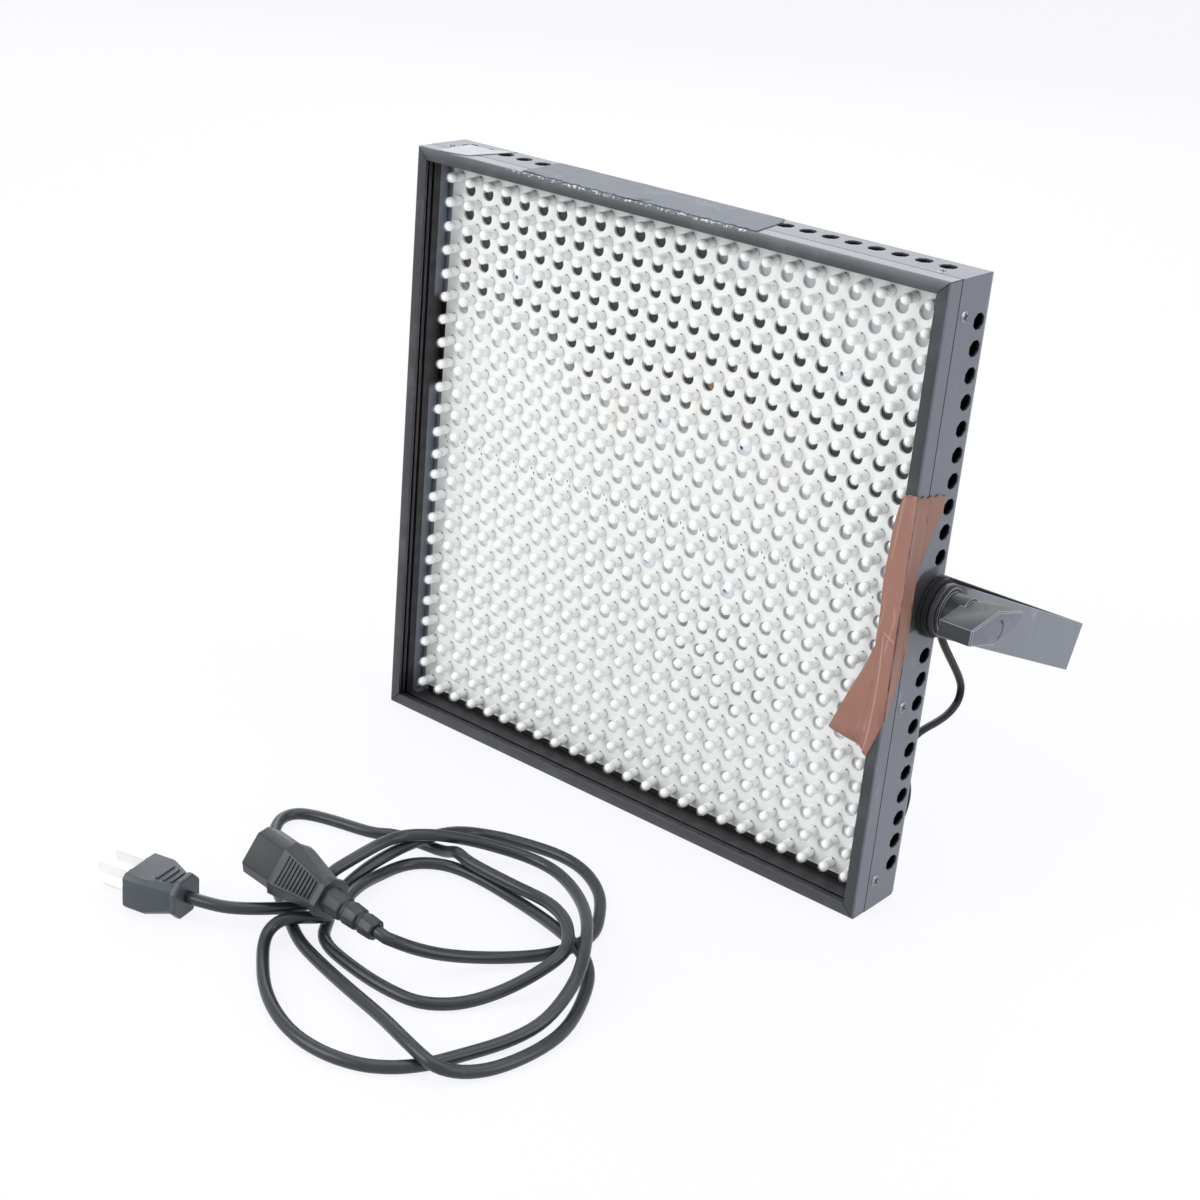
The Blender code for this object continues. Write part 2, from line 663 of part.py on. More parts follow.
def build_power_board():
    half_w = POWER_BOARD[0] / 2
    half_h = POWER_BOARD[1] / 2
    centre_x, centre_z = POWER_BOARD_CENTRE
    front = at_depth(POWER_BOARD_DEPTH)
    rear = front + BOARD_THICK
    board = box("power_board", (centre_x - half_w, front, centre_z - half_h),
                (centre_x + half_w, rear, centre_z + half_h))
    bm = bmesh.new()
    for side_x in (-1.0, 1.0):
        for side_z in (-1.0, 1.0):
            post = (centre_x + side_x * (half_w - STANDOFF_INSET),
                    centre_z + side_z * (half_h - STANDOFF_INSET))
            outline = polygon(6, STANDOFF_RADIUS, STANDOFF_RADIUS, post)
            ends = [[(x, y, z) for x, z in outline]
                    for y in (rear - BOARD_THICK / 2, at_depth(SHEET_FRONT - GAP))]
            add_loft(bm, ends)
    join(board, add_object("power_board_posts", bm))
    paint(board, (0.04, 0.16, 0.07), 0.45)


def build_transformer():
    """Core and bobbin, crossed, with the winding between them."""
    rear = at_depth(POWER_BOARD_DEPTH) - GAP
    centre_x, centre_z = on_board(TRANSFORMER_OFFSET)
    core_x, core_z = (size / 2 for size in TRANSFORMER_CORE)
    bobbin_x, bobbin_z = (size / 2 for size in TRANSFORMER_BOBBIN)
    core = box("transformer", (centre_x - core_x, rear - COMPONENT_HEIGHT, centre_z - core_z),
               (centre_x + core_x, rear, centre_z + core_z))
    bobbin = box("transformer_bobbin", (centre_x - bobbin_x, rear - BOBBIN_HEIGHT, centre_z - bobbin_z),
                 (centre_x + bobbin_x, rear - STANDOFF_RADIUS / 5, centre_z + bobbin_z))
    join(core, bobbin)
    paint(core, (0.55, 0.25, 0.08), 0.4)


def build_capacitor():
    """A lying can with its pressed-in rim."""
    radius = CAPACITOR_RADIUS
    half = CAPACITOR_LENGTH / 2
    rim = radius * 0.88
    profile = [(0.0, half), (radius, half), (radius, -half + 3.0 * MM), (rim, -half + 2.2 * MM),
               (radius, -half + 1.4 * MM), (radius, -half), (0.0, -half)]
    can = turned("filter_capacitor", profile, 14)
    centre_x, centre_z = on_board(CAPACITOR_OFFSET)
    can.location = (centre_x, at_depth(POWER_BOARD_DEPTH) - GAP - radius, centre_z)
    paint(can, (0.10, 0.07, 0.06), 0.35)


def build_heat_sink():
    """A comb profile, drawn as one bar along Z."""
    foot = at_depth(POWER_BOARD_DEPTH) - GAP
    base = foot - HEAT_SINK_BASE
    tip = foot - COMPONENT_HEIGHT
    pitch = (HEAT_SINK_WIDTH - FIN_THICK) / (FIN_COUNT - 1)
    centre_x, centre_z = on_board(HEAT_SINK_OFFSET)
    left = centre_x - HEAT_SINK_WIDTH / 2
    comb = [(left + HEAT_SINK_WIDTH, foot), (left, foot)]
    for fin in range(FIN_COUNT):
        start = left + fin * pitch
        comb += [(start, tip), (start + FIN_THICK, tip)]
        if fin < FIN_COUNT - 1:
            comb += [(start + FIN_THICK, base), (start + pitch, base)]
    low = centre_z - HEAT_SINK_LENGTH / 2
    sink = prism_z("heat_sink", comb, low, low + HEAT_SINK_LENGTH)
    paint(sink, (0.62, 0.63, 0.64), 0.35, 1.0)


def build_electronics():
    reach = HALF - SHEET_SIDE_ROOM
    sheet = box("insulating_sheet", (-reach, at_depth(SHEET_FRONT), SHEET_BOTTOM),
                (reach, at_depth(SHEET_REAR), PANEL_SIDE - SHEET_TOP_ROOM))
    paint(sheet, (0.55, 0.56, 0.56), 0.5)
    build_power_board()
    build_transformer()
    build_capacitor()
    build_heat_sink()


# Yoke and pivots

def strap_path():
    """The outer face of the strap from the right pivot round to the left one, as (x, y)."""
    corner_x = STRAP_OUTER - BEND_OUTER_RADIUS
    corner_y = YOKE_REACH - BEND_OUTER_RADIUS
    right = [(STRAP_OUTER, 0.0)]
    for step in range(BEND_SEGMENTS + 1):
        turn = math.pi / 2 * step / BEND_SEGMENTS
        right.append((corner_x + BEND_OUTER_RADIUS * math.cos(turn),
                      corner_y + BEND_OUTER_RADIUS * math.sin(turn)))
    return right + [(-x, y) for x, y in reversed(right)]


def add_strap_end(bm, top, bottom):
    """Closes a strap end with its half round."""
    radius = STRAP_WIDTH / 2
    steps = 8
    rim = []
    for step in range(1, steps):
        turn = math.pi * step / steps
        rim.append(bm.verts.new((top.co.x, top.co.y - radius * math.sin(turn), radius * math.cos(turn))))
    bm.faces.new([top] + rim + [bottom])


def build_yoke():
    pivot = empty("yoke_pivot", (0.0, PIVOT_Y, PIVOT_HEIGHT), (YOKE_TILT, 0.0, 0.0))
    bm = bmesh.new()
    upper = [bm.verts.new((x, y, STRAP_WIDTH / 2)) for x, y in strap_path()]
    edges = [bm.edges.new(pair) for pair in zip(upper, upper[1:])]
    grown = bmesh.ops.extrude_edge_only(bm, edges=edges)["geom"]
    lower = [item for item in grown if isinstance(item, bmesh.types.BMVert)]
    bmesh.ops.translate(bm, vec=(0.0, 0.0, -STRAP_WIDTH), verts=lower)
    for end in (upper[0], upper[-1]):
        below = next(vert for vert in lower if (vert.co - end.co).xy.length < GAP)
        add_strap_end(bm, end, below)
    yoke = add_object("yoke", bm)
    yoke.parent = pivot
    solidify(yoke, STRAP_THICK, strap_offset(yoke))
    bore = pivot_bore("yoke_pivot_bore", STRAP_OUTER + STRAP_THICK)
    bore.parent = pivot
    cut(yoke, bore)
    hole = prism_y("yoke_centre_hole", polygon(16, CROSSBAR_HOLE, CROSSBAR_HOLE),
                   YOKE_REACH - 2 * STRAP_THICK, YOKE_REACH + STRAP_THICK)
    hole.parent = pivot
    cut(yoke, hole)
    paint(yoke, (0.030, 0.032, 0.034), 0.45)


def strap_offset(yoke):
    """Thickens the strap toward the panel, whichever way its faces point."""
    crossbar = max(yoke.data.polygons, key=lambda face: face.center.y)
    return -1.0 if crossbar.normal.y > 0.0 else 1.0


def washer(name, rotation, radius, start, end):
    profile = [(STUD_HOLE, end), (radius, end), (radius, start), (STUD_HOLE, start)]
    ring = turned(name, profile, 20, ring=True)
    ring.location = (0.0, PIVOT_Y, PIVOT_HEIGHT)
    ring.rotation_euler = rotation
    return ring


def wing(name):
    outline = [(WING_TIP_HALF, WING_HALF_LENGTH), (-WING_TIP_HALF, WING_HALF_LENGTH),
               (-WING_MIDDLE_HALF, 0.0), (-WING_TIP_HALF, -WING_HALF_LENGTH),
               (WING_TIP_HALF, -WING_HALF_LENGTH), (WING_MIDDLE_HALF, 0.0)]
    start = KNOB_START + KNOB_FLANGE_THICK + KNOB_HUB_LENGTH
    end = start + WING_HEIGHT
    inset_x = 1.0 - WING_EDGE / WING_MIDDLE_HALF
    inset_y = 1.0 - WING_EDGE / WING_HALF_LENGTH
    lower = [Vector((x, y, start - KNOB_HUB_LENGTH / 4)) for x, y in outline]
    upper = [Vector((x, y, end - WING_EDGE)) for x, y in outline]
    crown = [Vector((x * inset_x, y * inset_y, end)) for x, y in outline]
    turn = Matrix.Rotation(WING_TURN, 3, 'Z')
    return loft(name, [[turn @ corner for corner in section] for section in (lower, upper, crown)])


def clamp_knob(name, rotation):
    """Stud, pressure flange and hub turned in one, with the hand wing across the end."""
    hub_start = KNOB_START + KNOB_FLANGE_THICK
    hub_end = hub_start + KNOB_HUB_LENGTH
    stud_end = HALF - STUD_REACH
    profile = [(0.0, hub_end), (KNOB_HUB_RADIUS, hub_end), (KNOB_HUB_RADIUS, hub_start),
               (KNOB_FLANGE_RADIUS, hub_start), (KNOB_FLANGE_RADIUS, KNOB_START),
               (STUD_RADIUS, KNOB_START), (STUD_RADIUS, stud_end), (0.0, stud_end)]
    knob = turned(name, profile, 20)
    knob.location = (0.0, PIVOT_Y, PIVOT_HEIGHT)
    knob.rotation_euler = rotation
    handle = wing(name + "_wing")
    handle.location = knob.location
    handle.rotation_euler = rotation
    join(knob, handle)
    return paint(knob, (0.012, 0.013, 0.014), 0.4)


def pivot_bolt(name, rotation):
    """Shank and flange turned in one, with the hexagonal head on top."""
    flange_end = KNOB_START + BOLT_FLANGE_THICK
    shank_end = HALF - STUD_REACH
    profile = [(0.0, flange_end), (BOLT_FLANGE_RADIUS, flange_end), (BOLT_FLANGE_RADIUS, KNOB_START),
               (STUD_RADIUS, KNOB_START), (STUD_RADIUS, shank_end), (0.0, shank_end)]
    bolt = turned(name, profile, 20)
    outline = polygon(6, BOLT_HEAD_RADIUS, BOLT_HEAD_RADIUS)
    head = prism_z(name + "_head", outline, flange_end - BOLT_FLANGE_THICK / 2, flange_end + BOLT_HEAD_THICK)
    for obj in (bolt, head):
        obj.location = (0.0, PIVOT_Y, PIVOT_HEIGHT)
        obj.rotation_euler = rotation
    join(bolt, head)
    return paint(bolt, (0.60, 0.60, 0.58), 0.35, 1.0)


def pivot_nut(name, rotation):
    start = HALF - WALL - GAP - NUT_THICK
    flat = NUT_RADIUS * math.cos(math.pi / 6)
    outline = [(x, y) for y, x in polygon(6, flat, flat)]
    nut = prism_z(name, outline, start, start + NUT_THICK)
    bore = prism_z(name + "_bore", polygon(16, STUD_HOLE, STUD_HOLE), start - GAP, start + NUT_THICK + GAP)
    for obj in (nut, bore):
        obj.location = (0.0, PIVOT_Y, PIVOT_HEIGHT)
        obj.rotation_euler = rotation
    cut(nut, bore)
    return paint(nut, (0.60, 0.60, 0.58), 0.35, 1.0)


def build_pivots():
    for side, turn in (("right", math.pi / 2), ("left", -math.pi / 2)):
        outward = (0.0, turn, 0.0)
        pivot_nut("pivot_nut_" + side, outward)
        steel = washer("washer_steel_" + side, outward, STEEL_WASHER_RADIUS, STEEL_START, STEEL_END)
        paint(steel, (0.65, 0.65, 0.64), 0.3, 1.0)
        rubber = washer("washer_rubber_" + side, outward, RUBBER_WASHER_RADIUS, RUBBER_START, RUBBER_END)
        paint(rubber, (0.015, 0.015, 0.016), 0.8)
    clamp_knob("clamp_knob_right", (0.0, math.pi / 2, 0.0))
    pivot_bolt("pivot_bolt_left", (0.0, -math.pi / 2, 0.0))


# Fittings of the rear plate

def framed_socket(name, x, body, flange, cavity, flange_thick, depth, floor, chamfer):
    """A moulded cup that passes through the plate, with a flange outside it."""
    outer = REAR_Y + GAP
    centre = (x, FITTINGS_HEIGHT)
    cup = prism_y(name, chamfered(body[0], body[1], chamfer, centre=centre), REAR_Y - depth,
                  outer + flange_thick)
    rim = prism_y(name + "_rim", chamfered(flange[0], flange[1], 2 * MM, 2 * MM, centre), outer,
                  outer + flange_thick)
    hollow = prism_y(name + "_hollow", chamfered(cavity[0], cavity[1], chamfer * 0.8, centre=centre),
                     REAR_Y - depth + floor, outer + 2 * flange_thick)
    join(cup, rim)
    cut(cup, hollow)
    return paint(cup, (0.015, 0.015, 0.016), 0.5)


def build_inlet():
    framed_socket("inlet_socket", INLET_X, INLET_BODY, INLET_FLANGE, INLET_CAVITY, INLET_FLANGE_THICK,
                  INLET_DEPTH, INLET_FLOOR, INLET_CHAMFER)
    width, length, height = INLET_PIN
    start = REAR_Y - INLET_DEPTH + INLET_FLOOR + GAP
    places = (("inlet_pin_line", -CONTACT_SPREAD, -CONTACT_OFFSET),
              ("inlet_pin_neutral", CONTACT_SPREAD, -CONTACT_OFFSET),
              ("inlet_pin_earth", 0.0, CONTACT_OFFSET))
    for name, across, up in places:
        sections = []
        for y, share in ((start, 1.0), (start + length - 1.5 * MM, 1.0), (start + length, 0.6)):
            corner = (width / 2 * share, height / 2 * share)
            outline = rectangle((-corner[0], -corner[1]), corner)
            sections.append([(x, y, z) for x, z in outline])
        pin = loft(name, sections)
        pin.location = (INLET_X + across, 0.0, FITTINGS_HEIGHT + up)
        paint(pin, (0.75, 0.70, 0.55), 0.3, 1.0)


def build_switch():
    framed_socket("switch_frame", SWITCH_X, SWITCH_BODY, SWITCH_FLANGE, SWITCH_CAVITY, SWITCH_FLANGE_THICK,
                  SWITCH_DEPTH, INLET_FLOOR, 1.0 * MM)
    half = ROCKER_HALF_LENGTH
    outline = [(-half, 2.6 * MM), (-0.92 * half, -2.4 * MM), (0.0, -4.5 * MM), (0.92 * half, -2.4 * MM),
               (half, 2.6 * MM), (0.0, 1.0 * MM)]
    rocker = prism_z("rocker_switch", outline, -ROCKER_HALF_WIDTH, ROCKER_HALF_WIDTH)
    rocker.location = (SWITCH_X, REAR_Y, FITTINGS_HEIGHT)
    rocker.rotation_euler = (0.0, 0.0, ROCKER_REST)
    paint(rocker, (0.02, 0.02, 0.02), 0.3)


def build_dimmer():
    outer_end = GAP + DIMMER_NUT_THICK
    inner_start = -WALL - GAP
    inner_end = inner_start - DIMMER_BODY_LENGTH
    profile = [(DIMMER_BORE, outer_end), (DIMMER_NUT_RADIUS, outer_end), (DIMMER_NUT_RADIUS, GAP),
               (DIMMER_NECK, GAP), (DIMMER_NECK, inner_start), (DIMMER_BODY_RADIUS, inner_start),
               (DIMMER_BODY_RADIUS, inner_end), (DIMMER_BORE, inner_end)]
    bush = turned("dimmer_bush", profile, 16, ring=True)
    knob_start = outer_end + GAP
    knob_end = knob_start + DIMMER_KNOB_LENGTH
    profile = [(0.0, knob_end), (DIMMER_KNOB_TOP, knob_end), (DIMMER_KNOB_RADIUS, knob_start),
               (DIMMER_SHAFT, knob_start), (DIMMER_SHAFT, inner_end + GAP), (0.0, inner_end + GAP)]
    knob = turned("dimmer_knob", profile, 16)
    for obj in (bush, knob):
        obj.location = (DIMMER_X, REAR_Y, FITTINGS_HEIGHT)
        obj.rotation_euler = (-math.pi / 2, 0.0, 0.0)
    paint(bush, (0.6, 0.6, 0.6), 0.35, 1.0)
    paint(knob, (0.02, 0.02, 0.02), 0.45)


def build_grommets():
    outer = GAP + GROMMET_FLANGE_THICK
    inner = -WALL - GAP
    profile = [(GROMMET_BORE, outer), (GROMMET_FLANGE, outer), (GROMMET_FLANGE, GAP), (GROMMET_NECK, GAP),
               (GROMMET_NECK, inner), (GROMMET_FLANGE, inner), (GROMMET_FLANGE, inner - GROMMET_FLANGE_THICK),
               (GROMMET_BORE, inner - GROMMET_FLANGE_THICK)]
    for name, height in zip(("cable_grommet_upper", "cable_grommet_lower"), GROMMET_HEIGHTS):
        ring = turned(name, profile, 12, ring=True)
        ring.location = (CABLE_X, REAR_Y, height)
        ring.rotation_euler = (-math.pi / 2, 0.0, 0.0)
        paint(ring, (0.012, 0.012, 0.013), 0.7)


# Cords

def smooth_curve(points, steps=14):
    """A centripetal curve through the points."""
    route = [np.array(point, dtype=float) for point in points]
    route = [2 * route[0] - route[1]] + route + [2 * route[-1] - route[-2]]
    result = []
    for index in range(1, len(route) - 2):
        p0, p1, p2, p3 = route[index - 1:index + 3]
        t1 = math.sqrt(np.linalg.norm(p1 - p0))
        t2 = t1 + math.sqrt(np.linalg.norm(p2 - p1))
        t3 = t2 + math.sqrt(np.linalg.norm(p3 - p2))
        for t in np.linspace(t1, t2, steps, endpoint=False):
            a1 = (t1 - t) / t1 * p0 + t / t1 * p1
            a2 = (t2 - t) / (t2 - t1) * p1 + (t - t1) / (t2 - t1) * p2
            a3 = (t3 - t) / (t3 - t2) * p2 + (t - t2) / (t3 - t2) * p3
            b1 = (t2 - t) / t2 * a1 + t / t2 * a2
            b2 = (t3 - t) / (t3 - t1) * a2 + (t - t1) / (t3 - t1) * a3
            result.append((t2 - t) / (t2 - t1) * b1 + (t - t1) / (t2 - t1) * b2)
    result.append(route[-2])
    return np.array(result)


def even_points(line, spacing):
    """Reads points at even steps from a dense line."""
    lengths = np.concatenate([[0.0], np.cumsum(np.linalg.norm(np.diff(line, axis=0), axis=1))])
    count = max(2, round(lengths[-1] / spacing) + 1)
    places = np.linspace(0.0, lengths[-1], count)
    return np.stack([np.interp(places, lengths, line[:, axis]) for axis in range(3)], axis=1)


def self_gap(points, radius):
    """The least clear distance between two stretches of the cord that aren't neighbours."""
    line = even_points(points, radius / 2)
    away = np.linalg.norm(line[:, None] - line[None], axis=2)
    order = np.abs(np.arange(len(line))[:, None] - np.arange(len(line))[None])
    away[order * radius / 2 < 8 * radius] = 1.0
    return away.min() - 2 * radius


def straight_end(end, direction, length):
    """Two points that hold a cord end square to what it meets."""
    return [end + direction * GAP, end + direction * (GAP + length)]


def cord_object(name, points, radius):
    curve = bpy.data.curves.new(name, 'CURVE')
    curve.dimensions = '3D'
    curve.bevel_depth = radius
    curve.bevel_resolution = 2
    curve.use_fill_caps = True
    spline = curve.splines.new('POLY')
    spline.points.add(len(points) - 1)
    for point, place in zip(spline.points, points):
        point.co = (*place, 1.0)
    return shade_round(curve_to_mesh(name, curve), 60.0)


def build_power_cord():
    start = straight_end(CONNECTOR_END, -CONNECTOR_FORWARD.normalized(), 2 * CORD_RADIUS)
    end = straight_end(PLUG_END, -PLUG_FORWARD.normalized(), 2 * CORD_RADIUS)
    route = start + [Vector(point) * MM for point in CORD_ROUTE] + end[::-1]
    line = smooth_curve(route[1:-1])
    inner = even_points(line, CORD_SPACING)
    points = np.vstack([route[0], inner, route[-1]])
    points[:, 2] = np.maximum(points[:, 2], CORD_RADIUS + GAP / 3)
    length = np.linalg.norm(np.diff(points, axis=0), axis=1).sum()
    print("power_cord: length", round(length, 3), "m, least gap to itself",
          round(self_gap(points, CORD_RADIUS) / MM, 2), "mm,", len(points), "points")
    cord = cord_object("power_cord", points, CORD_RADIUS)
    paint(cord, (0.012, 0.012, 0.013), 0.5)


def build_rear_cable():
    """Out of the upper grommet, down behind the panel in an open loop, and into the lower one."""
    inside = REAR_Y - 6.5 * MM
    outside = REAR_Y + 5.0 * MM
    upper, lower = GROMMET_HEIGHTS
    route = [Vector((CABLE_X, outside, upper))]
    route += [Vector(point) * MM for point in CABLE_ROUTE]
    route += [Vector((CABLE_X, outside, lower))]
    ends = (Vector((CABLE_X, inside, upper)), Vector((CABLE_X, inside, lower)))
    line = smooth_curve([ends[0]] + route + [ends[1]])
    between = smooth_curve(route)
    points = np.vstack([ends[0], even_points(between, CABLE_SPACING), ends[1]])
    length = np.linalg.norm(np.diff(line, axis=0), axis=1).sum()
    print("rear_cable: length", round(length, 3), "m, least gap to itself",
          round(self_gap(points, CABLE_RADIUS) / MM, 2), "mm,", len(points), "points")
    cable = cord_object("rear_cable", points, CABLE_RADIUS)
    paint(cable, (0.012, 0.012, 0.013), 0.5)


# Ends of the mains lead

def aligned_empty(name, origin, forward, across):
    """An empty whose Y runs forward and whose X lies as near across as it can."""
    axis_y = forward.normalized()
    axis_z = across.cross(axis_y).normalized()
    axis_x = axis_y.cross(axis_z)
    turn = Matrix((axis_x, axis_y, axis_z)).transposed()
    return empty(name, origin, turn.to_euler())


def section(y, width, height, top, bottom):
    return [(x, y, z) for x, z in chamfered(width, height, top, bottom)]


def round_section(y, radius):
    return [(x, y, z) for x, z in round_like_chamfered(radius)]


def round_like_chamfered(radius):
    """An octagon with its corners in the order of a chamfered rectangle."""
    side = radius * math.tan(math.pi / 8)
    return [(radius, -side), (radius, side), (side, radius), (-side, radius), (-radius, side),
            (-radius, -side), (-side, -radius), (side, -radius)]


def relief_sections():
    """The bend relief, three sleeves that narrow toward the cord with a groove between each two."""
    sleeve = RELIEF_LENGTH / 3
    sections = [round_section(0.0, 4.2 * MM)]
    for index in range(3):
        start = index * sleeve
        radius = (4.8 + 0.5 * index) * MM
        sections.append(round_section(start + 0.6 * MM, radius))
        sections.append(round_section(start + sleeve - 2.0 * MM, radius + 0.3 * MM))
        if index < 2:
            sections.append(round_section(start + sleeve - 1.6 * MM, radius - 0.8 * MM))
            sections.append(round_section(start + sleeve, radius - 0.8 * MM))
    sections.append(round_section(RELIEF_LENGTH, 6.2 * MM))
    return sections


def build_connector():
    """The appliance connector, swept from its bend relief through flange and collar to its block."""
    base = aligned_empty("connector_axis", CONNECTOR_END, CONNECTOR_FORWARD, CONNECTOR_ACROSS)
    flange_end = RELIEF_LENGTH + CONNECTOR_FLANGE
    sections = relief_sections()
    sections += [
        section(RELIEF_LENGTH + 0.1 * MM, 19 * MM, 19 * MM, 4 * MM, 4 * MM),
        section(flange_end, 19 * MM, 19 * MM, 4 * MM, 4 * MM),
        section(flange_end + 0.5 * MM, 16 * MM, 15.5 * MM, 2.5 * MM, 2 * MM),
        section(CONNECTOR_COLLAR_END - 4 * MM, 26 * MM, 18.6 * MM, 4.5 * MM, 2 * MM),
        section(CONNECTOR_COLLAR_END, 27 * MM, 19 * MM, 4.5 * MM, 2 * MM),
        section(CONNECTOR_COLLAR_END + 0.2 * MM, 24 * MM, 16.4 * MM, 4.25 * MM, 1 * MM),
        section(CONNECTOR_LENGTH, 24 * MM, 16.4 * MM, 4.25 * MM, 1 * MM),
    ]
    body = loft("cord_connector", sections)
    body.parent = base
    bm = bmesh.new()
    width, depth, height = CONTACT_SLOT
    places = ((-CONTACT_SPREAD, -CONTACT_OFFSET), (CONTACT_SPREAD, -CONTACT_OFFSET), (0.0, CONTACT_OFFSET))
    for across, up in places:
        add_box(bm, (across - width / 2, CONNECTOR_LENGTH - depth, up - height / 2),
                (across + width / 2, CONNECTOR_LENGTH + GAP, up + height / 2))
    slots = add_object("connector_slots", bm)
    slots.parent = base
    cut(body, slots)
    paint(body, (0.012, 0.012, 0.013), 0.5)


def plug_metal(base, name, across, up):
    width, length, height = BLADE
    start = PLUG_LENGTH + GAP
    sections = [
        section(start, width, height, 0.3 * MM, 0.3 * MM),
        section(start + length - 1.5 * MM, width, height, 0.3 * MM, 0.3 * MM),
        section(start + length, 0.6 * width, 0.8 * height, 0.2 * MM, 0.2 * MM),
    ]
    blade = loft(name, sections)
    blade.location = (across, 0.0, up)
    blade.parent = base
    paint(blade, (0.75, 0.75, 0.72), 0.25, 1.0)


def build_plug():
    """The mains plug: flange, body that widens forward, two blades and an earth pin."""
    base = aligned_empty("plug_axis", PLUG_END, PLUG_FORWARD, Vector((0.0, 0.0, 1.0)).cross(-PLUG_FORWARD))
    width = 2 * PLUG_HALF_WIDTH
    height = 2 * PLUG_HALF_HEIGHT
    sections = [
        section(0.0, 19 * MM, 19 * MM, 5 * MM, 5 * MM),
        section(0.6 * MM, 20 * MM, 20 * MM, 5 * MM, 5 * MM),
        section(PLUG_FLANGE, 20 * MM, 20 * MM, 5 * MM, 5 * MM),
        section(PLUG_FLANGE + 0.4 * MM, 16.4 * MM, 16 * MM, 3 * MM, 3 * MM),
        section(16 * MM, width, height, 2 * MM, 2 * MM),
        section(PLUG_LENGTH - MM, width, height, 2 * MM, 2 * MM),
        section(PLUG_LENGTH, width - 2 * MM, height - 2 * MM, 2 * MM, 2 * MM),
    ]
    body = loft("mains_plug", sections)
    body.parent = base
    paint(body, (0.012, 0.012, 0.013), 0.5)
    plug_metal(base, "plug_blade_left", -BLADE_SPREAD, BLADE_HEIGHT)
    plug_metal(base, "plug_blade_right", BLADE_SPREAD, BLADE_HEIGHT)
    radius = EARTH_RADIUS
    profile = [(0.0, EARTH_LENGTH), (0.6 * radius, EARTH_LENGTH - 0.5 * MM),
               (radius, EARTH_LENGTH - 2.5 * MM), (radius, 0.0), (0.0, 0.0)]
    pin = turned("plug_earth_pin", profile, 12)
    pin.location = (0.0, PLUG_LENGTH + GAP, BLADE_HEIGHT - EARTH_DROP)
    pin.rotation_euler = (-math.pi / 2, 0.0, 0.0)
    pin.parent = base
    paint(pin, (0.75, 0.75, 0.72), 0.25, 1.0)


# Tape

def build_front_tape():
    """Tape folded round the right front corner; its lower end hangs loose over the light field."""
    corner_x = HALF + GAP
    front = FRONT_Y - GAP
    inner = ((7.2, 220.9), (9.5, 209.5), (10.9, 188.6), (10.0, 166.7), (8.1, 154.7), (10.7, 143.5),
             (16.3, 130.0), (22.9, 112.4), (28.1, 96.4), (8.3, 91.0), (6.3, 88.9), (1.2, 105.0))
    side = ((2.3, 109.6), (8.4, 131.8), (11.0, 141.9), (9.3, 167.4), (9.9, 184.3), (24.8, 209.9),
            (25.2, 217.7))
    bm = bmesh.new()
    top = bm.verts.new((corner_x, front, FRONT_TAPE_TOP))
    bottom = bm.verts.new((corner_x, front, FRONT_TAPE_BOTTOM))
    front_rim = [bm.verts.new((corner_x - inward * MM, front, z * MM)) for inward, z in inner]
    side_rim = [bm.verts.new((corner_x, at_depth(depth * MM), z * MM)) for depth, z in side]
    bm.faces.new([top] + front_rim + [bottom])
    bm.faces.new([top, bottom] + side_rim)
    tape = add_object("front_tape", bm)
    outward = max(tape.data.polygons, key=lambda face: face.center.x).normal.x
    solidify(tape, TAPE_THICK, 1.0 if outward > 0.0 else -1.0)
    paint(tape, (0.40, 0.20, 0.16), 0.45)


def top_strip(name, start_x, outline, colour, roughness):
    """A strip on the top face, its corners given as distances from a start and from the front."""
    low = PANEL_SIDE + GAP
    corners = [(start_x + x * MM, at_depth(depth * MM)) for x, depth in outline]
    strip = prism_z(name, corners, low, low + TAPE_THICK)
    return paint(strip, colour, roughness)


def build_tapes():
    build_front_tape()
    top_strip("top_tape", 0.0, ((-93, 35), (-89, 1.2), (-62, 2.0), (-36, 1.0), (-10, 1.8), (25, 1.0),
                                (56, 1.6), (51.5, 29), (48, 35.5)), (0.09, 0.09, 0.10), 0.45)
    top_strip("tape_scrap", -HALF, ((14.5, 0.8), (19.0, 0.6), (31.8, 4.1), (38.2, 35.5), (26.3, 26.8),
                                    (12.1, 26.7)), (0.75, 0.75, 0.73), 0.6)


def build():
    remove_everything()
    build_frame()
    build_housing()
    build_carrier()
    led_board("led_board_upper", True)
    led_board("led_board_lower", False)
    build_electronics()
    build_yoke()
    build_pivots()
    build_inlet()
    build_switch()
    build_dimmer()
    build_grommets()
    build_rear_cable()
    build_tapes()
    build_connector()
    build_plug()
    build_power_cord()


build()
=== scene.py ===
import math
import random

import bmesh
import bpy
from mathutils import Matrix, Vector, noise


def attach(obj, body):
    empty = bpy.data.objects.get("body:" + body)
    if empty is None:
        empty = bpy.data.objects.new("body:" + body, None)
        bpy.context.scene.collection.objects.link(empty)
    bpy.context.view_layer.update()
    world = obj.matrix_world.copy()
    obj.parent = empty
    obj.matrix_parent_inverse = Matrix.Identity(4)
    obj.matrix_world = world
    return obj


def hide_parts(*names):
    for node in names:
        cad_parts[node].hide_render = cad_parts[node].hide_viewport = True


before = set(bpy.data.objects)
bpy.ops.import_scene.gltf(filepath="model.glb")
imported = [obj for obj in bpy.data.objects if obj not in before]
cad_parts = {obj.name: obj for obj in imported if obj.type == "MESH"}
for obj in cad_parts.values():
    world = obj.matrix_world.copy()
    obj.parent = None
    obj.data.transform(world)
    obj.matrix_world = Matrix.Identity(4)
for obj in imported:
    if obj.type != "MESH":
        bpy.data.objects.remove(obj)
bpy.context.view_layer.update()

MM = 0.001
HALF = 0.1605  # half the panel's side, and the height of its middle
FRONT_Y = -0.0205
REAR_Y = 0.0205
REAR_EDGE = 0.005  # radius of the housing's bent rear edge
TOP_Z = 0.321
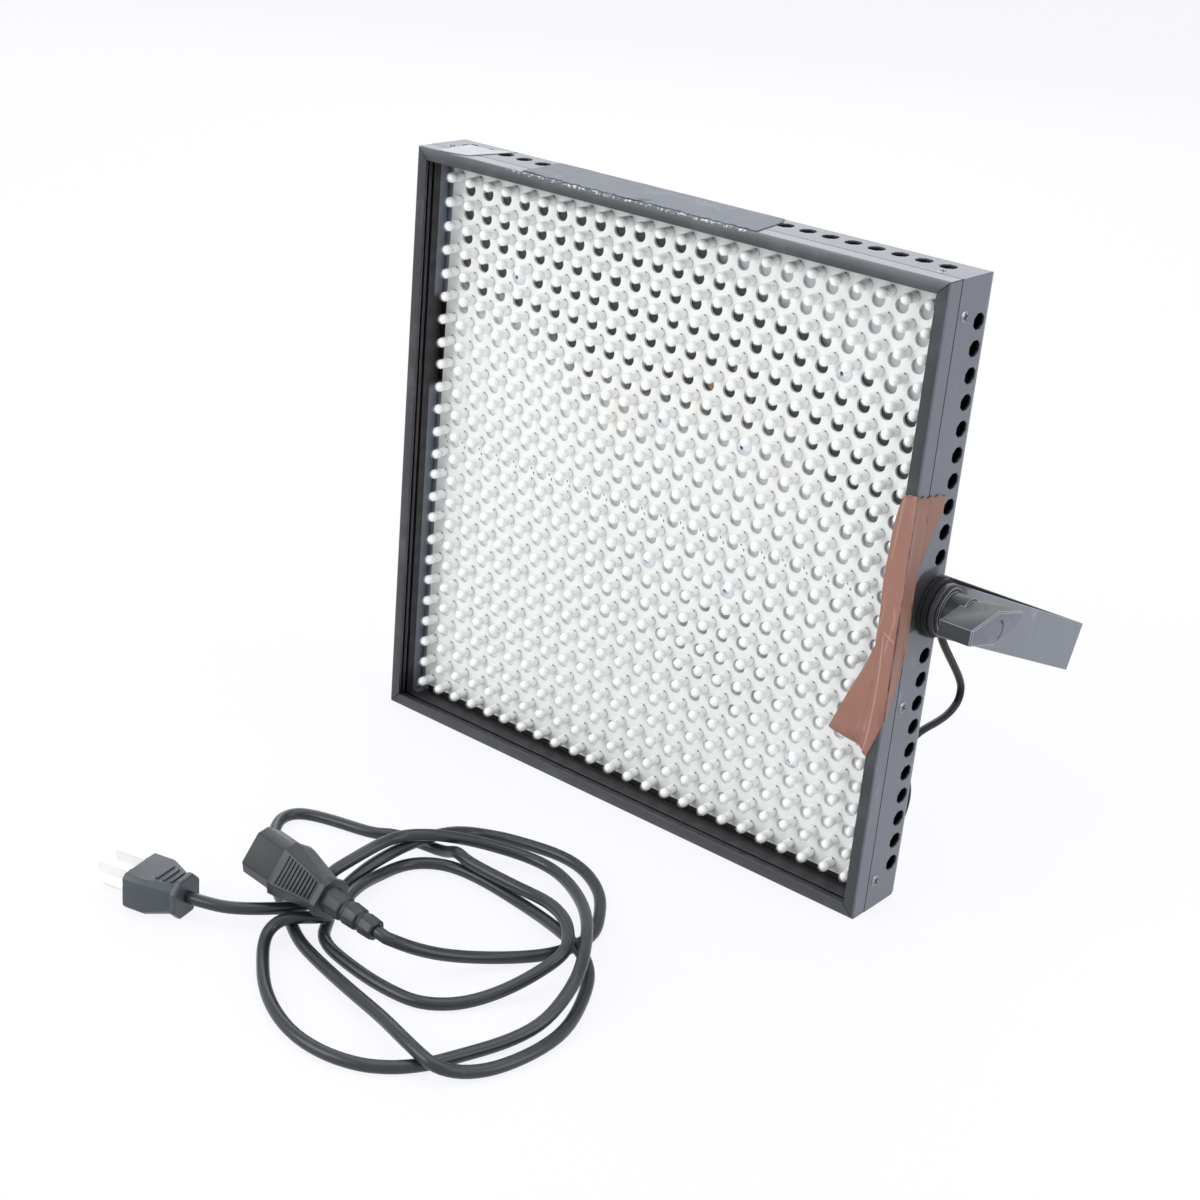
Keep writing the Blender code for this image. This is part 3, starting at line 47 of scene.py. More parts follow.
BOARD_Y = FRONT_Y + 0.020
BOARD_THICK = 0.0016
FILM_Y = BOARD_Y + 0.0019
FILM_SIDE = 0.300
FILM_THICK = 0.0002
LED_PITCH = 0.0127
LED_ROWS = 24
HOLE_RADIUS = 0.0037
MIDDLE_HOLE = 11
HOLE_SHIFT = (-0.0004, -0.0003)
LED_SHIFT = (-0.0006, -0.0010)
LED_RADIUS = 0.0029
PIVOT_Y = 0.0107
PIVOT_Z = 0.1603
YOKE_TILT = math.radians(22.6)
TAPE_LIFT = 0.0003
CORD_RADIUS = 0.0030
CORD_GAP = 0.0003
CABLE_RADIUS = 0.0020
CABLE_REST = 0.0021
STRAIN_DEPTH = 0.0063  # how far the lead runs into its mouldings


# Finishes

class Value:
    """A socket of a finish; arithmetic on it adds Math nodes."""

    def __init__(self, finish, socket):
        self.finish = finish
        self.socket = socket

    def __add__(self, other):
        return self.finish.math('ADD', self, other)

    def __radd__(self, other):
        return self.finish.math('ADD', other, self)

    def __sub__(self, other):
        return self.finish.math('SUBTRACT', self, other)

    def __rsub__(self, other):
        return self.finish.math('SUBTRACT', other, self)

    def __mul__(self, other):
        return self.finish.math('MULTIPLY', self, other)

    def __rmul__(self, other):
        return self.finish.math('MULTIPLY', other, self)

    def __truediv__(self, other):
        return self.finish.math('DIVIDE', self, other)

    def __pow__(self, other):
        return self.finish.math('POWER', self, other)

    def __abs__(self):
        return self.finish.math('ABSOLUTE', self)

    def sine(self):
        return self.finish.math('SINE', self)

    def least(self, other):
        return self.finish.math('MINIMUM', self, other)

    def most(self, other):
        return self.finish.math('MAXIMUM', self, other)

    def ramp(self, start, end):
        """0 up to start, 1 from end on, soft between them; start may lie above end."""
        low, high, first, last = (start, end, 0.0, 1.0) if start < end else (end, start, 1.0, 0.0)
        return self.finish.node("ShaderNodeMapRange", {"interpolation_type": 'SMOOTHSTEP'},
                                {"Value": self, "From Min": low, "From Max": high,
                                 "To Min": first, "To Max": last})


class Finish:
    """One material: constants go straight onto the shader, what varies is linked to it."""

    def __init__(self, name, **constants):
        self.material = bpy.data.materials.new(name)
        self.material.use_nodes = True
        self.tree = self.material.node_tree
        self.shader = self.tree.nodes["Principled BSDF"]
        for key, value in constants.items():
            self.shader.inputs[key.replace("_", " ")].default_value = value

    def node(self, kind, settings=None, sockets=None, output=0):
        made = self.tree.nodes.new(kind)
        for key, value in (settings or {}).items():
            setattr(made, key, value)
        for key, value in (sockets or {}).items():
            if isinstance(value, Value):
                self.tree.links.new(value.socket, made.inputs[key])
            else:
                made.inputs[key].default_value = value
        return Value(self, made.outputs[output])

    def math(self, operation, *values):
        return self.node("ShaderNodeMath", {"operation": operation}, dict(enumerate(values)))

    def place(self):
        return self.node("ShaderNodeTexCoord", output="Object")

    def axis(self, name):
        return self.node("ShaderNodeSeparateXYZ", None, {0: self.place()}, output="XYZ".index(name))

    def axes(self):
        return [self.axis(name) for name in "XYZ"]

    def noise(self, size, detail=2.0, roughness=0.5, stretch=(1.0, 1.0, 1.0), distortion=0.0):
        """Soft noise whose grains are about size metres across, longer where stretch is larger."""
        scale = tuple(1.0 / (size * part) for part in stretch)
        place = self.node("ShaderNodeMapping", None, {"Vector": self.place(), "Scale": scale})
        return self.node("ShaderNodeTexNoise", None,
                         {"Vector": place, "Scale": 1.0, "Detail": detail, "Roughness": roughness,
                          "Distortion": distortion})

    def mix(self, factor, first, second):
        sockets = {0: factor, 6: first, 7: second}
        for key in (6, 7):
            if isinstance(sockets[key], tuple):
                sockets[key] = (*sockets[key], 1.0)
        return self.node("ShaderNodeMix", {"data_type": 'RGBA'}, sockets, output=2)

    def from_pivot(self):
        return self.axis("Y") - PIVOT_Y, self.axis("Z") - PIVOT_Z

    def colour(self):
        """The base colour as laid so far, to paint over."""
        return Value(self, self.shader.inputs["Base Color"].links[0].from_socket)

    def feed(self, name, value):
        self.tree.links.new(value.socket, self.shader.inputs[name])
        return self

    def paint(self, value):
        return self.feed("Base Color", value)

    def bump(self, height, depth):
        """Relief from a height of 0 to 1, depth metres deep."""
        made = self.node("ShaderNodeBump", None, {"Height": height, "Distance": depth, "Strength": 1.0})
        return self.feed("Normal", made)


def times(colour, share):
    return tuple(part * share for part in colour)


def away(a, b):
    """Distance from the origin of a place with the coordinates a and b."""
    return (a ** 2.0 + b ** 2.0) ** 0.5


def coated_steel(name, colour, worn, grain=0.0006, rough=0.42):
    """Baked paint with fine orange peel, rub marks and thin scratches."""
    finish = Finish(name, Metallic=0.0, Specular_IOR_Level=0.55)
    peel = finish.noise(grain, 3.0, 0.6)
    cloud = finish.noise(0.035, 4.0, 0.6)
    rub = finish.noise(0.012, 5.0, 0.7, stretch=(1.0, 1.0, 3.0)).ramp(0.56, 0.72)
    rub = rub * cloud.ramp(0.42, 0.6)
    scratch = finish.noise(0.0007, 1.0, 0.5, stretch=(1.0, 1.0, 40.0), distortion=0.4)
    scratch = scratch.ramp(0.69, 0.735) * finish.noise(0.025, 2.0).ramp(0.52, 0.66)
    base = finish.mix(cloud, times(colour, 0.86), times(colour, 1.14))
    base = finish.mix(rub * 0.35, base, worn)
    base = finish.mix(scratch * 0.5, base, worn)
    finish.paint(base)
    finish.feed("Roughness", rough + cloud * 0.10 - 0.05 + rub * 0.1)
    finish.bump(peel * 0.7 + (1.0 - scratch) * 0.3, 0.00006)
    return finish


def painted_reflection_zone(finish):
    """Where the rim beside the boards gets a painted slate grey reflection, but for the gap at the
    wiring opening.
    """
    z = finish.axis("Z")
    return 1.0 - z.ramp(0.186, 0.192) * z.ramp(0.243, 0.238)


def housing_paint():
    """Slate paint, with painted shade inside the pan and in the gap at the frame's seam, and a black,
    crinkled patch beside the washers.
    """
    finish = coated_steel("housing_paint", (0.112, 0.122, 0.150), (0.34, 0.35, 0.38))
    old = finish.colour()
    x, y, z = finish.axes()
    reach = abs(x).most(abs(z - HALF))
    beside = (reach - (HALF - REAR_EDGE)).most(0.0)
    behind = (y - (REAR_Y - REAR_EDGE)).most(0.0)
    # painted shade: the pan's inner faces nearly black
    inside = away(beside, behind).ramp(REAR_EDGE - 0.0005, REAR_EDGE - 0.0007)
    radius = away(y - PIVOT_Y, z - PIVOT_Z)
    crinkle = finish.noise(0.0022, 4.0, 0.75)
    patch = (radius + crinkle * 0.004).ramp(0.0285, 0.0275)
    patch = patch * abs(x).ramp(HALF - 0.0003, HALF - 0.0001) * y.ramp(PIVOT_Y + 0.002, PIVOT_Y - 0.004)
    patch = patch * z.ramp(0.1505, 0.1525) * z.ramp(0.1830, 0.1800)
    # painted shade in the gap at the frame's seam
    seam = y.ramp(FRONT_Y + 0.0110, FRONT_Y + 0.0108)
    dust = crinkle.ramp(0.60, 0.70)
    base = finish.mix(patch * 0.95, old, (0.013, 0.013, 0.014))
    base = finish.mix(patch * dust * 0.35, base, (0.20, 0.21, 0.23))
    base = finish.mix(seam * 0.85, base, (0.012, 0.012, 0.013))
    finish.paint(finish.mix(inside, base, (0.010, 0.010, 0.011)))
    return finish


def frame_paint():
    """The filter frame's paint: painted shade on its front lips, darker still on the left one, black
    painted shade in the slots behind them and dark painted shade on the inner wall, a painted slate
    grey reflection far back on the left leg, rubbed paint outside and bare chips along the top edge.
    """
    finish = coated_steel("frame_paint", (0.098, 0.110, 0.136), (0.34, 0.35, 0.37), 0.0009, 0.36)
    old = finish.colour()
    x, y, z = finish.axes()
    front = y.ramp(FRONT_Y + 0.0016, FRONT_Y + 0.0006)
    reach = abs(x).most(abs(z - HALF))
    # painted shade: the lip's front faces darker than the frame's other faces
    lip = front * reach.ramp(HALF - 0.0002, HALF - 0.0011)
    # painted shade: black in the groove just behind the lip
    slots = y.ramp(FRONT_Y + 0.0008, FRONT_Y + 0.0022)
    slots = slots * reach.ramp(HALF - 0.0006, HALF - 0.0022)
    # painted shade: the inner wall further in kept dark
    leg = slots * reach.ramp(HALF - 0.0036, HALF - 0.0040)
    # painted reflection: a slate grey strip far back on the left leg's inner wall
    deep_reflection = leg * y.ramp(FRONT_Y + 0.0138, FRONT_Y + 0.0144)
    deep_reflection = deep_reflection * x.ramp(-0.150, -0.154) * painted_reflection_zone(finish)
    streak = finish.noise(0.0022, 3.0, 0.6, stretch=(12.0, 1.0, 12.0)).ramp(0.48, 0.66)
    # painted shade: the left lip darker still
    shade = finish.mix(x.ramp(-0.1500, -0.1580), (0.026, 0.029, 0.034), (0.012, 0.013, 0.016))
    base = finish.mix(lip, old, shade)
    base = finish.mix(lip * streak * 0.35, base, (0.075, 0.085, 0.098))
    base = finish.mix(slots, base, (0.006, 0.006, 0.006))
    base = finish.mix(leg, base, (0.034, 0.031, 0.035))
    base = finish.mix(deep_reflection, base, (0.21, 0.225, 0.265))
    grain = finish.noise(0.0016, 4.0, 0.75).ramp(0.53, 0.60)
    edge = z.ramp(TOP_Z - 0.0018, TOP_Z - 0.0006) * front
    worn = x.ramp(-0.105, -0.085) * x.ramp(0.06, 0.045)
    few = finish.noise(0.004, 3.0, 0.7).ramp(0.66, 0.70)
    corner = x.ramp(-HALF + 0.0016, -HALF + 0.0006) * z.ramp(TOP_Z - 0.004, TOP_Z - 0.001)
    chips = (grain * edge * worn + few * edge + corner * grain).least(1.0)
    finish.paint(finish.mix(chips, base, (0.60, 0.64, 0.68)))
    return finish


def yoke_paint():
    """Speckled grey-lilac paint outside, with painted shade inside the bend and round the knob."""
    finish = coated_steel("yoke_paint", (0.128, 0.142, 0.172), (0.42, 0.42, 0.45), 0.0007)
    old = finish.colour()
    y, z = finish.from_pivot()
    along = y * math.cos(YOKE_TILT) - z * math.sin(YOKE_TILT)
    # painted shade on the strap's inner faces
    inside = abs(finish.axis("X")).ramp(0.1662, 0.1656) * along.ramp(0.1678, 0.1672)
    speck = finish.noise(0.0008, 3.0, 0.8).ramp(0.58, 0.68)
    base = finish.mix(speck * 0.25, old, (0.26, 0.27, 0.30))
    shaded = away(y, z).ramp(0.0185, 0.0165) * finish.axis("X").ramp(0.100, 0.110)
    base = finish.mix(shaded * 0.85, base, (0.018, 0.019, 0.022))
    finish.paint(finish.mix(inside, base, (0.016, 0.016, 0.018)))
    return finish


def yoke_edges():
    """The yoke's rubbed edges, paler as a painted highlight, with painted shade black round its end
    where the knob shades them.
    """
    finish = coated_steel("yoke_edge_highlight_and_shade", (0.185, 0.190, 0.210), (0.42, 0.42, 0.44))
    old = finish.colour()
    y, z = finish.from_pivot()
    near = away(y, z).ramp(0.0240, 0.0215)
    finish.paint(finish.mix(near, old, (0.022, 0.023, 0.026)))
    return finish


def knob_plastic():
    """Moulded knob: satin, its flat end paler, with a small arc mark pressed into it, painted dark as
    its shade, and dark pits.
    """
    finish = moulded("knob_plastic", (0.021, 0.024, 0.027), 0.42)
    old = finish.colour()
    end = finish.axis("X").ramp(0.1938, 0.1946)
    y = finish.axis("Y") - (PIVOT_Y + 0.0010)
    z = finish.axis("Z") - (PIVOT_Z - 0.0010)
    radius = away(y, z)
    arc = radius.ramp(0.0036, 0.0040) * radius.ramp(0.0054, 0.0050) * y.ramp(0.0002, 0.0014)
    pits = finish.noise(0.0011, 2.0, 0.6).ramp(0.60, 0.65)
    pits = pits * z.ramp(0.0015, 0.0035) * y.ramp(-0.004, 0.0)
    haze = finish.noise(0.004, 4.0, 0.7)
    pale = finish.mix(haze, (0.085, 0.095, 0.125), (0.165, 0.172, 0.215))
    base = finish.mix(end, old, pale)
    # painted shade in the pressed arc, with the dark pits
    marks = end * (arc + pits * 0.8).least(1.0)
    finish.paint(finish.mix(marks, base, (0.02, 0.02, 0.024)))
    return finish


def carrier_finish():
    """The black sheet the boards sit on, with a painted slate grey reflection along its rim."""
    finish = moulded("carrier_black", (0.016, 0.018, 0.018), 0.5)
    old = finish.colour()
    # painted reflection: slate grey along the left rim
    rim = finish.axis("X").ramp(-0.1518, -0.1526) * painted_reflection_zone(finish)
    finish.paint(finish.mix(rim, old, (0.30, 0.32, 0.375)))
    return finish


def moulded(name, colour, rough, grain=0.0008, depth=0.00003):
    """Moulded plastic or rubber with a fine spark-eroded grain and faint handling marks."""
    finish = Finish(name, Specular_IOR_Level=0.5)
    fine = finish.noise(grain, 2.0, 0.6)
    cloud = finish.noise(0.014, 4.0, 0.65)
    dust = finish.noise(0.003, 5.0, 0.8).ramp(0.60, 0.74) * cloud.ramp(0.40, 0.62)
    base = finish.mix(cloud, times(colour, 0.8), times(colour, 1.25))
    base = finish.mix(dust * 0.10, base, (0.30, 0.30, 0.31))
    finish.paint(base)
    finish.feed("Roughness", rough + cloud * 0.12 - 0.06 + dust * 0.1)
    finish.bump(fine, depth)
    return finish


def bare_metal(name, colour, rough, stretch=(1.0, 1.0, 12.0)):
    """Metal with brush marks, longer along Z unless stretch says otherwise."""
    finish = Finish(name, Metallic=1.0)
    brush = finish.noise(0.0004, 2.0, 0.6, stretch=stretch)
    cloud = finish.noise(0.006, 4.0, 0.6)
    base = finish.mix(cloud, times(colour, 0.82), colour)
    finish.paint(base)
    finish.feed("Roughness", rough + brush * 0.12 + cloud * 0.08 - 0.08)
    finish.bump(brush, 0.00001)
    return finish


def board_finish():
    """White lacquered circuit board, yellowed in a band across it and in a few old stains."""
    finish = Finish("white_board", Specular_IOR_Level=0.4)
    cloud = finish.noise(0.05, 3.0, 0.55)
    fine = finish.noise(0.0009, 3.0, 0.6)
    stain = finish.noise(0.028, 4.0, 0.7)
    x = finish.axis("X")
    z = finish.axis("Z")
    band = z.ramp(0.185, 0.205) * z.ramp(0.245, 0.222) * x.ramp(-0.09, -0.03) * x.ramp(0.11, 0.06)
    yellow = (stain.ramp(0.48, 0.68) * band).most(stain.ramp(0.62, 0.78) * 0.35)
    base = finish.mix(cloud, (0.80, 0.805, 0.785), (0.85, 0.85, 0.84))
    base = finish.mix(yellow * 0.4, base, (0.72, 0.66, 0.48))
    base = finish.mix(fine.ramp(0.62, 0.74) * 0.15, base, (0.66, 0.68, 0.66))
    finish.paint(base)
    finish.feed("Roughness", 0.34 + cloud * 0.16)
    finish.bump(fine, 0.00003)
    return finish


def lens_finish():
    """Clear cast resin of the LEDs, a glossy shell round the white core that stands in for the light
    seen through the resin.
    """
    finish = Finish("clear_resin", Alpha=0.16, IOR=1.5, Specular_IOR_Level=1.0)
    haze = finish.noise(0.0018, 3.0, 0.6)
    finish.paint(finish.mix(haze, (0.94, 0.95, 0.94), (1.0, 1.0, 1.0)))
    finish.feed("Roughness", 0.04 + haze * 0.08)
    return finish


def core_finish():
    """The scattered light inside the resin: near white, greyer at the waist where the leads stand."""
    finish = Finish("resin_core", Roughness=0.4, Specular_IOR_Level=0.3)
    depth = finish.axis("Y") - BOARD_Y
    waist = depth.ramp(-0.0068, -0.0060) * depth.ramp(-0.0044, -0.0052)
    fleck = finish.noise(0.0010, 2.0, 0.6)
    base = finish.mix(fleck, (0.92, 0.93, 0.91), (0.99, 0.99, 0.98))
    base = finish.mix(waist * fleck.ramp(0.50, 0.62) * 0.70, base, (0.46, 0.47, 0.44))
    finish.paint(base)
    return finish


def film_finish():
    """The film behind the boards, its tones painted shade and painted reflection as seen through the
    holes: black in its upper part but for a corner, grey and white below.
    """
    finish = Finish("backing_film_painted_light", Specular_IOR_Level=0.3)
    x = finish.axis("X")
    z = finish.axis("Z")
    cloud = finish.noise(0.022, 4.0, 0.6)
    edge = 0.214 + x.ramp(-0.050, -0.110) * 0.022 - x.ramp(0.080, 0.105) * 0.022
    # painted shade: the black band seen through the upper holes
    upper = (z - edge + (cloud - 0.5) * 0.05).ramp(-0.014, 0.016)
    corner = (z + x * 0.38 + (cloud - 0.5) * 0.02).ramp(0.316, 0.302)
    patch = (away(x - 0.050, z - 0.096) + cloud * 0.02).ramp(0.052, 0.036)
    grey = z.ramp(0.060, 0.110) * x.ramp(-0.070, -0.020)
    # painted glints, brown and green, in the black band
    spots = finish.noise(0.011, 2.0).ramp(0.62, 0.68)
    spots = spots * z.ramp(0.205, 0.215) * z.ramp(0.265, 0.250)
    base = finish.mix(grey, (0.78, 0.80, 0.80), (0.47, 0.49, 0.50))
    base = finish.mix(cloud.ramp(0.35, 0.65) * 0.35, base, (0.56, 0.58, 0.58))
    base = finish.mix(patch * 0.65, base, (0.12, 0.13, 0.12))
    base = finish.mix(upper * corner * 0.97, base, (0.026, 0.031, 0.031))
    tint = finish.mix(x.ramp(0.050, 0.070), (0.36, 0.24, 0.10), (0.10, 0.20, 0.07))
    base = finish.mix(spots * upper * 0.6, base, tint)
    finish.paint(base)
    finish.feed("Roughness", 0.5 + cloud * 0.2)
    return finish


def tape_finish(name, colour, rough, weave, depth, crease=0.25):
    """Pressure tape: fine woven ribs across its width, cloudy sheen and a few lighter creases."""
    finish = Finish(name, Specular_IOR_Level=0.45)
    ribs = (finish.axis("Z") * (math.tau / weave)).sine() * 0.5 + 0.5
    line = finish.noise(0.016, 3.0, 0.5, stretch=(1.0, 1.0, 5.0), distortion=0.6)
    fold = line.ramp(0.475, 0.500) * line.ramp(0.525, 0.502)
    fold = fold * finish.noise(0.03, 2.0).ramp(0.50, 0.62)
    cloud = finish.noise(0.02, 3.0, 0.6)
    grain = finish.noise(0.0008, 3.0, 0.7)
    base = finish.mix(cloud, times(colour, 0.90), times(colour, 1.10))
    base = finish.mix(grain * 0.10, base, times(colour, 0.6))
    base = finish.mix(fold * crease, base, tuple(min(1.0, part * 1.5 + 0.08) for part in colour))
    finish.paint(base)
    finish.feed("Roughness", rough + cloud * 0.12)
    finish.bump(ribs * 0.25 + fold * 0.75, depth)
    return finish


def brown_tape():
    """Brown tape, with painted shade on its side flap, strongest high up, pale folds, and a painted
    highlight along the corner ridge and on an upper crease.
    """
    finish = tape_finish("brown_tape", (0.285, 0.136, 0.099), 0.42, 0.0011, 0.00006, 0.4)
    old = finish.colour()
    x, y, z = finish.axes()
    # painted shade on the side flap
    side = x.ramp(HALF - 0.0004, HALF)
    high = z.ramp(0.140, 0.190)
    front = 1.0 - side
    long_fold = abs(x - 0.1546 + (z - 0.128) * (z - 0.128) * 1.7).ramp(0.0007, 0.0002)
    long_fold = long_fold * z.ramp(0.153, 0.149)
    pinch = abs(z - 0.1532 + (x - 0.1538) * 0.50).ramp(0.0006, 0.0002)
    pinch = pinch * x.ramp(0.1530, 0.1545)
    # painted highlight along an upper crease
    upper = abs(x - 0.1522 - (z - 0.1913) * 0.076).ramp(0.0008, 0.0002) * z.ramp(0.186, 0.194)
    # painted highlight along the corner ridge
    ridge = (x - HALF).ramp(-0.0004, 0.0002)
    ridge = ridge * y.ramp(FRONT_Y + 0.0004, FRONT_Y - 0.0001)
    folds = front * (long_fold * 0.55).most(pinch * 0.7).most(upper * 0.35)
    pale = folds.most(ridge * z.ramp(0.150, 0.170) * 0.5)
    old = finish.mix(pale, old, (0.46, 0.29, 0.24))
    base = finish.mix(side * high * 0.5, old, (0.145, 0.072, 0.052))
    finish.paint(finish.mix(side * (1.0 - high) * 0.5, base, (0.196, 0.103, 0.077)))
    return finish


def sheath_finish():
    """The lead's rubber sheath: satin, with scuffs and a little dust."""
    finish = Finish("cord_sheath", Specular_IOR_Level=0.5)
    cloud = finish.noise(0.02, 4.0, 0.65)
    scuff = finish.noise(0.0022, 4.0, 0.75).ramp(0.60, 0.72) * cloud.ramp(0.45, 0.65)
    base = finish.mix(cloud, (0.009, 0.013, 0.015), (0.020, 0.027, 0.031))
    finish.paint(finish.mix(scuff * 0.25, base, (0.22, 0.22, 0.23)))
    finish.feed("Roughness", 0.25 + cloud * 0.14 + scuff * 0.2)
    finish.bump(finish.noise(0.0009, 3.0, 0.6), 0.00003)
    return finish


EVEN = (1.0, 1.0, 1.0)
FINISHES = {}


def finish(name):
    return FINISHES[name].material


def mix_finishes():
    FINISHES.update({
        "housing": housing_paint(),
        "frame": frame_paint(),
        "yoke": yoke_paint(),
        "carrier": carrier_finish(),
        "board": board_finish(),
        "lens": lens_finish(),
        "core": core_finish(),
        "film": film_finish(),
        "knob": knob_plastic(),
        # painted highlight: the knob's broken edges pale
        "knob_edge_highlight": moulded("knob_edge_highlight", (0.230, 0.245, 0.270), 0.36),
        "yoke_edge_highlight_and_shade": yoke_edges(),
        # small dark metal ticks at the LEDs' feet and along the board seam
        "lead": bare_metal("led_dark_tick", (0.16, 0.16, 0.16), 0.5, EVEN),
        "button": moulded("button_plastic", (0.030, 0.032, 0.035), 0.32),
        "fitting": moulded("fitting_plastic", (0.020, 0.021, 0.023), 0.42),
        "moulding": moulded("cord_moulding", (0.011, 0.015, 0.0165), 0.38, 0.0011, 0.00004),
        "plug": moulded("plug_moulding", (0.042, 0.052, 0.061), 0.42, 0.0011, 0.00004),
        "sheath": sheath_finish(),
        "rear_sheath": moulded("rear_sheath", (0.006, 0.008, 0.009), 0.30),
        "rubber": moulded("washer_rubber", (0.018, 0.018, 0.019), 0.62),
        "washer": coated_steel("washer_black", (0.020, 0.022, 0.025), (0.20, 0.20, 0.21)),
        "zinc": bare_metal("zinc_steel", (0.66, 0.67, 0.68), 0.32),
        "nickel": bare_metal("nickel_brass", (0.80, 0.79, 0.76), 0.24),
        "plug_pin": bare_metal("plug_pin", (0.95, 0.95, 0.95), 0.5),
        "aluminium": bare_metal("bare_aluminium", (0.70, 0.71, 0.72), 0.35),
        "circuit": moulded("circuit_board", (0.030, 0.150, 0.060), 0.40),
        "winding": tape_finish("winding_tape", (0.62, 0.26, 0.05), 0.35, 0.002, 0.00005),
        "sleeve": moulded("capacitor_sleeve", (0.060, 0.045, 0.040), 0.3),
        "sheet": moulded("insulating_sheet", (0.50, 0.51, 0.50), 0.45),
        "brown": brown_tape(),
        "black_tape": tape_finish("black_tape", (0.112, 0.126, 0.150), 0.55, 0.0008, 0.00006),
        "white_tape": tape_finish("white_tape", (0.40, 0.41, 0.45), 0.5, 0.0009, 0.00005),
        # painted shade for the screws' cross recesses
        "recess_shade": moulded("screw_recess", (0.010, 0.010, 0.011), 0.5),
        "screw": bare_metal("screw_head", (0.30, 0.31, 0.33), 0.30, EVEN),
        "board_screw": bare_metal("board_screw", (0.86, 0.90, 0.95), 0.28, EVEN),
    })
    for look, gloss in (("rear_sheath", 0.22), ("rubber", 0.25), ("washer", 0.30), ("knob", 0.38)):
        FINISHES[look].shader.inputs["Specular IOR Level"].default_value = gloss


# Making pieces

def meshed(name, bm):
    mesh = bpy.data.meshes.new(name)
    bm.to_mesh(mesh)
    bm.free()
    return mesh


def placed(name, data):
    obj = bpy.data.objects.new(name, data)
    bpy.context.scene.collection.objects.link(obj)
    return obj


def piece(name, bm, look, body, smooth=None):
    """A finished object from a mesh under work, shaded smooth below the angle smooth in degrees."""
    mesh = meshed(name, bm)
    obj = placed(name, mesh)
    mesh.materials.append(finish(look))
    if smooth is not None:
        mesh.shade_smooth()
        mesh.set_sharp_from_angle(angle=math.radians(smooth))
    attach(obj, body)
    return obj


def dress(node, look):
    """Gives a CAD node its finish."""
    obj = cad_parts[node]
    if not obj.material_slots:
        obj.data.materials.append(finish(look))
    for slot in obj.material_slots:
        slot.material = finish(look)


def rounded(node, look, body, width, angle=28.0, edge_look=None):
    """A copy of a CAD node with its edges broken by a small radius, in a look of their own if given."""
    bm = bmesh.new()
    bm.from_mesh(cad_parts[node].data)
    bmesh.ops.remove_doubles(bm, verts=bm.verts, dist=0.00001)
    bmesh.ops.dissolve_limit(bm, angle_limit=math.radians(1.0), verts=bm.verts, edges=bm.edges)
    obj = piece(node + "_finished", bm, look, body, 40.0)
    mod = obj.modifiers.new("edges", 'BEVEL')
    mod.width = width
    mod.segments = 2
    mod.limit_method = 'ANGLE'
    mod.angle_limit = math.radians(angle)
    mod.use_clamp_overlap = True
    if edge_look:
        obj.data.materials.append(finish(edge_look))
        mod.material = 1
    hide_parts(node)
    return obj


def turned_mesh(name, profile, steps):
    """A profile of (radius, height) in mm, turned about Z to a closed mesh to be placed many times."""
    bm = bmesh.new()
    verts = [bm.verts.new((radius * MM, 0.0, height * MM)) for radius, height in profile]
    edges = [bm.edges.new(pair) for pair in zip(verts, verts[1:])]
    bmesh.ops.spin(bm, geom=verts + edges, cent=(0, 0, 0), axis=(0, 0, 1), angle=math.tau, steps=steps,
                   use_merge=True)
    bmesh.ops.remove_doubles(bm, verts=bm.verts, dist=0.000002)
    bmesh.ops.recalc_face_normals(bm, faces=bm.faces)
    return meshed(name, bm)


def add_copy(bm, mesh, matrix):
    copy = mesh.copy()
    copy.transform(matrix)
    bm.from_mesh(copy)
    bpy.data.meshes.remove(copy)


def facing(place, outward, turn=0.0):
    """A matrix that takes local Z to outward at a place."""
    aim = Vector(outward).to_track_quat('Z', 'Y').to_matrix().to_4x4()
    return Matrix.Translation(place) @ aim @ Matrix.Rotation(turn, 4, 'Z')


def thickened(bm, depth):
    """Gives a level sheet its thickness, downward from where it lies."""
    grown = bmesh.ops.extrude_face_region(bm, geom=list(bm.faces))["geom"]
    verts = [item for item in grown if isinstance(item, bmesh.types.BMVert)]
    bmesh.ops.translate(bm, vec=(0, 0, -depth), verts=verts)
    bmesh.ops.recalc_face_normals(bm, faces=bm.faces)


def stood_at(bm, y):
    """Stands a level sheet upright on the middle of the panel, its upper side to the front."""
    place = Matrix.Translation((0, y, HALF)) @ Matrix.Rotation(math.pi / 2, 4, 'X')
    bmesh.ops.transform(bm, matrix=place, verts=bm.verts)


# Light field; the profiles are (radius, height) in mm

LED_LENS = ((0.0, 0.0), (2.95, 0.0), (2.9, 0.9), (2.9, 8.5), (2.6, 9.8), (1.7, 10.9), (0.0, 11.4))
LED_CORE = ((0.0, 0.4), (2.6, 0.4), (2.6, 4.4), (2.2, 5.1), (2.25, 6.0), (2.6, 6.6), (2.55, 8.7),
            (0.0, 10.9))
LED_TICK = ((0.0, -0.75), (0.22, -0.45), (0.30, 0.0), (0.22, 0.45), (0.0, 0.75))
LED_LEAN = 0.03
TICK_ANGLE = math.radians(66.0)
TICK_HEIGHT = 0.0012
SEAM_TICKS = ((-0.0015, 0.1610), (0.0004, 0.1587))  # across from the column, and height
BOARD_SCREW = ((0.0, 1.9), (0.9, 1.9), (1.2, 2.3), (2.6, 1.9), (3.7, 0.9), (4.4, 0.5), (4.4, 0.02),
               (0.0, 0.02))
BOARD_CROSS = (0.0020, 0.0022)  # radius and height of the head's top, for the recess in it
BOARD_SCREW_PLACES = ((19, 3), (19, 19), (15, 11), (15, 15), (9, 11), (9, 15), (3, 3), (3, 19))


def from_middle(index):
    """How far a row or column of LEDs lies from the middle of the field."""
    return (index - (LED_ROWS - 1) / 2) * LED_PITCH


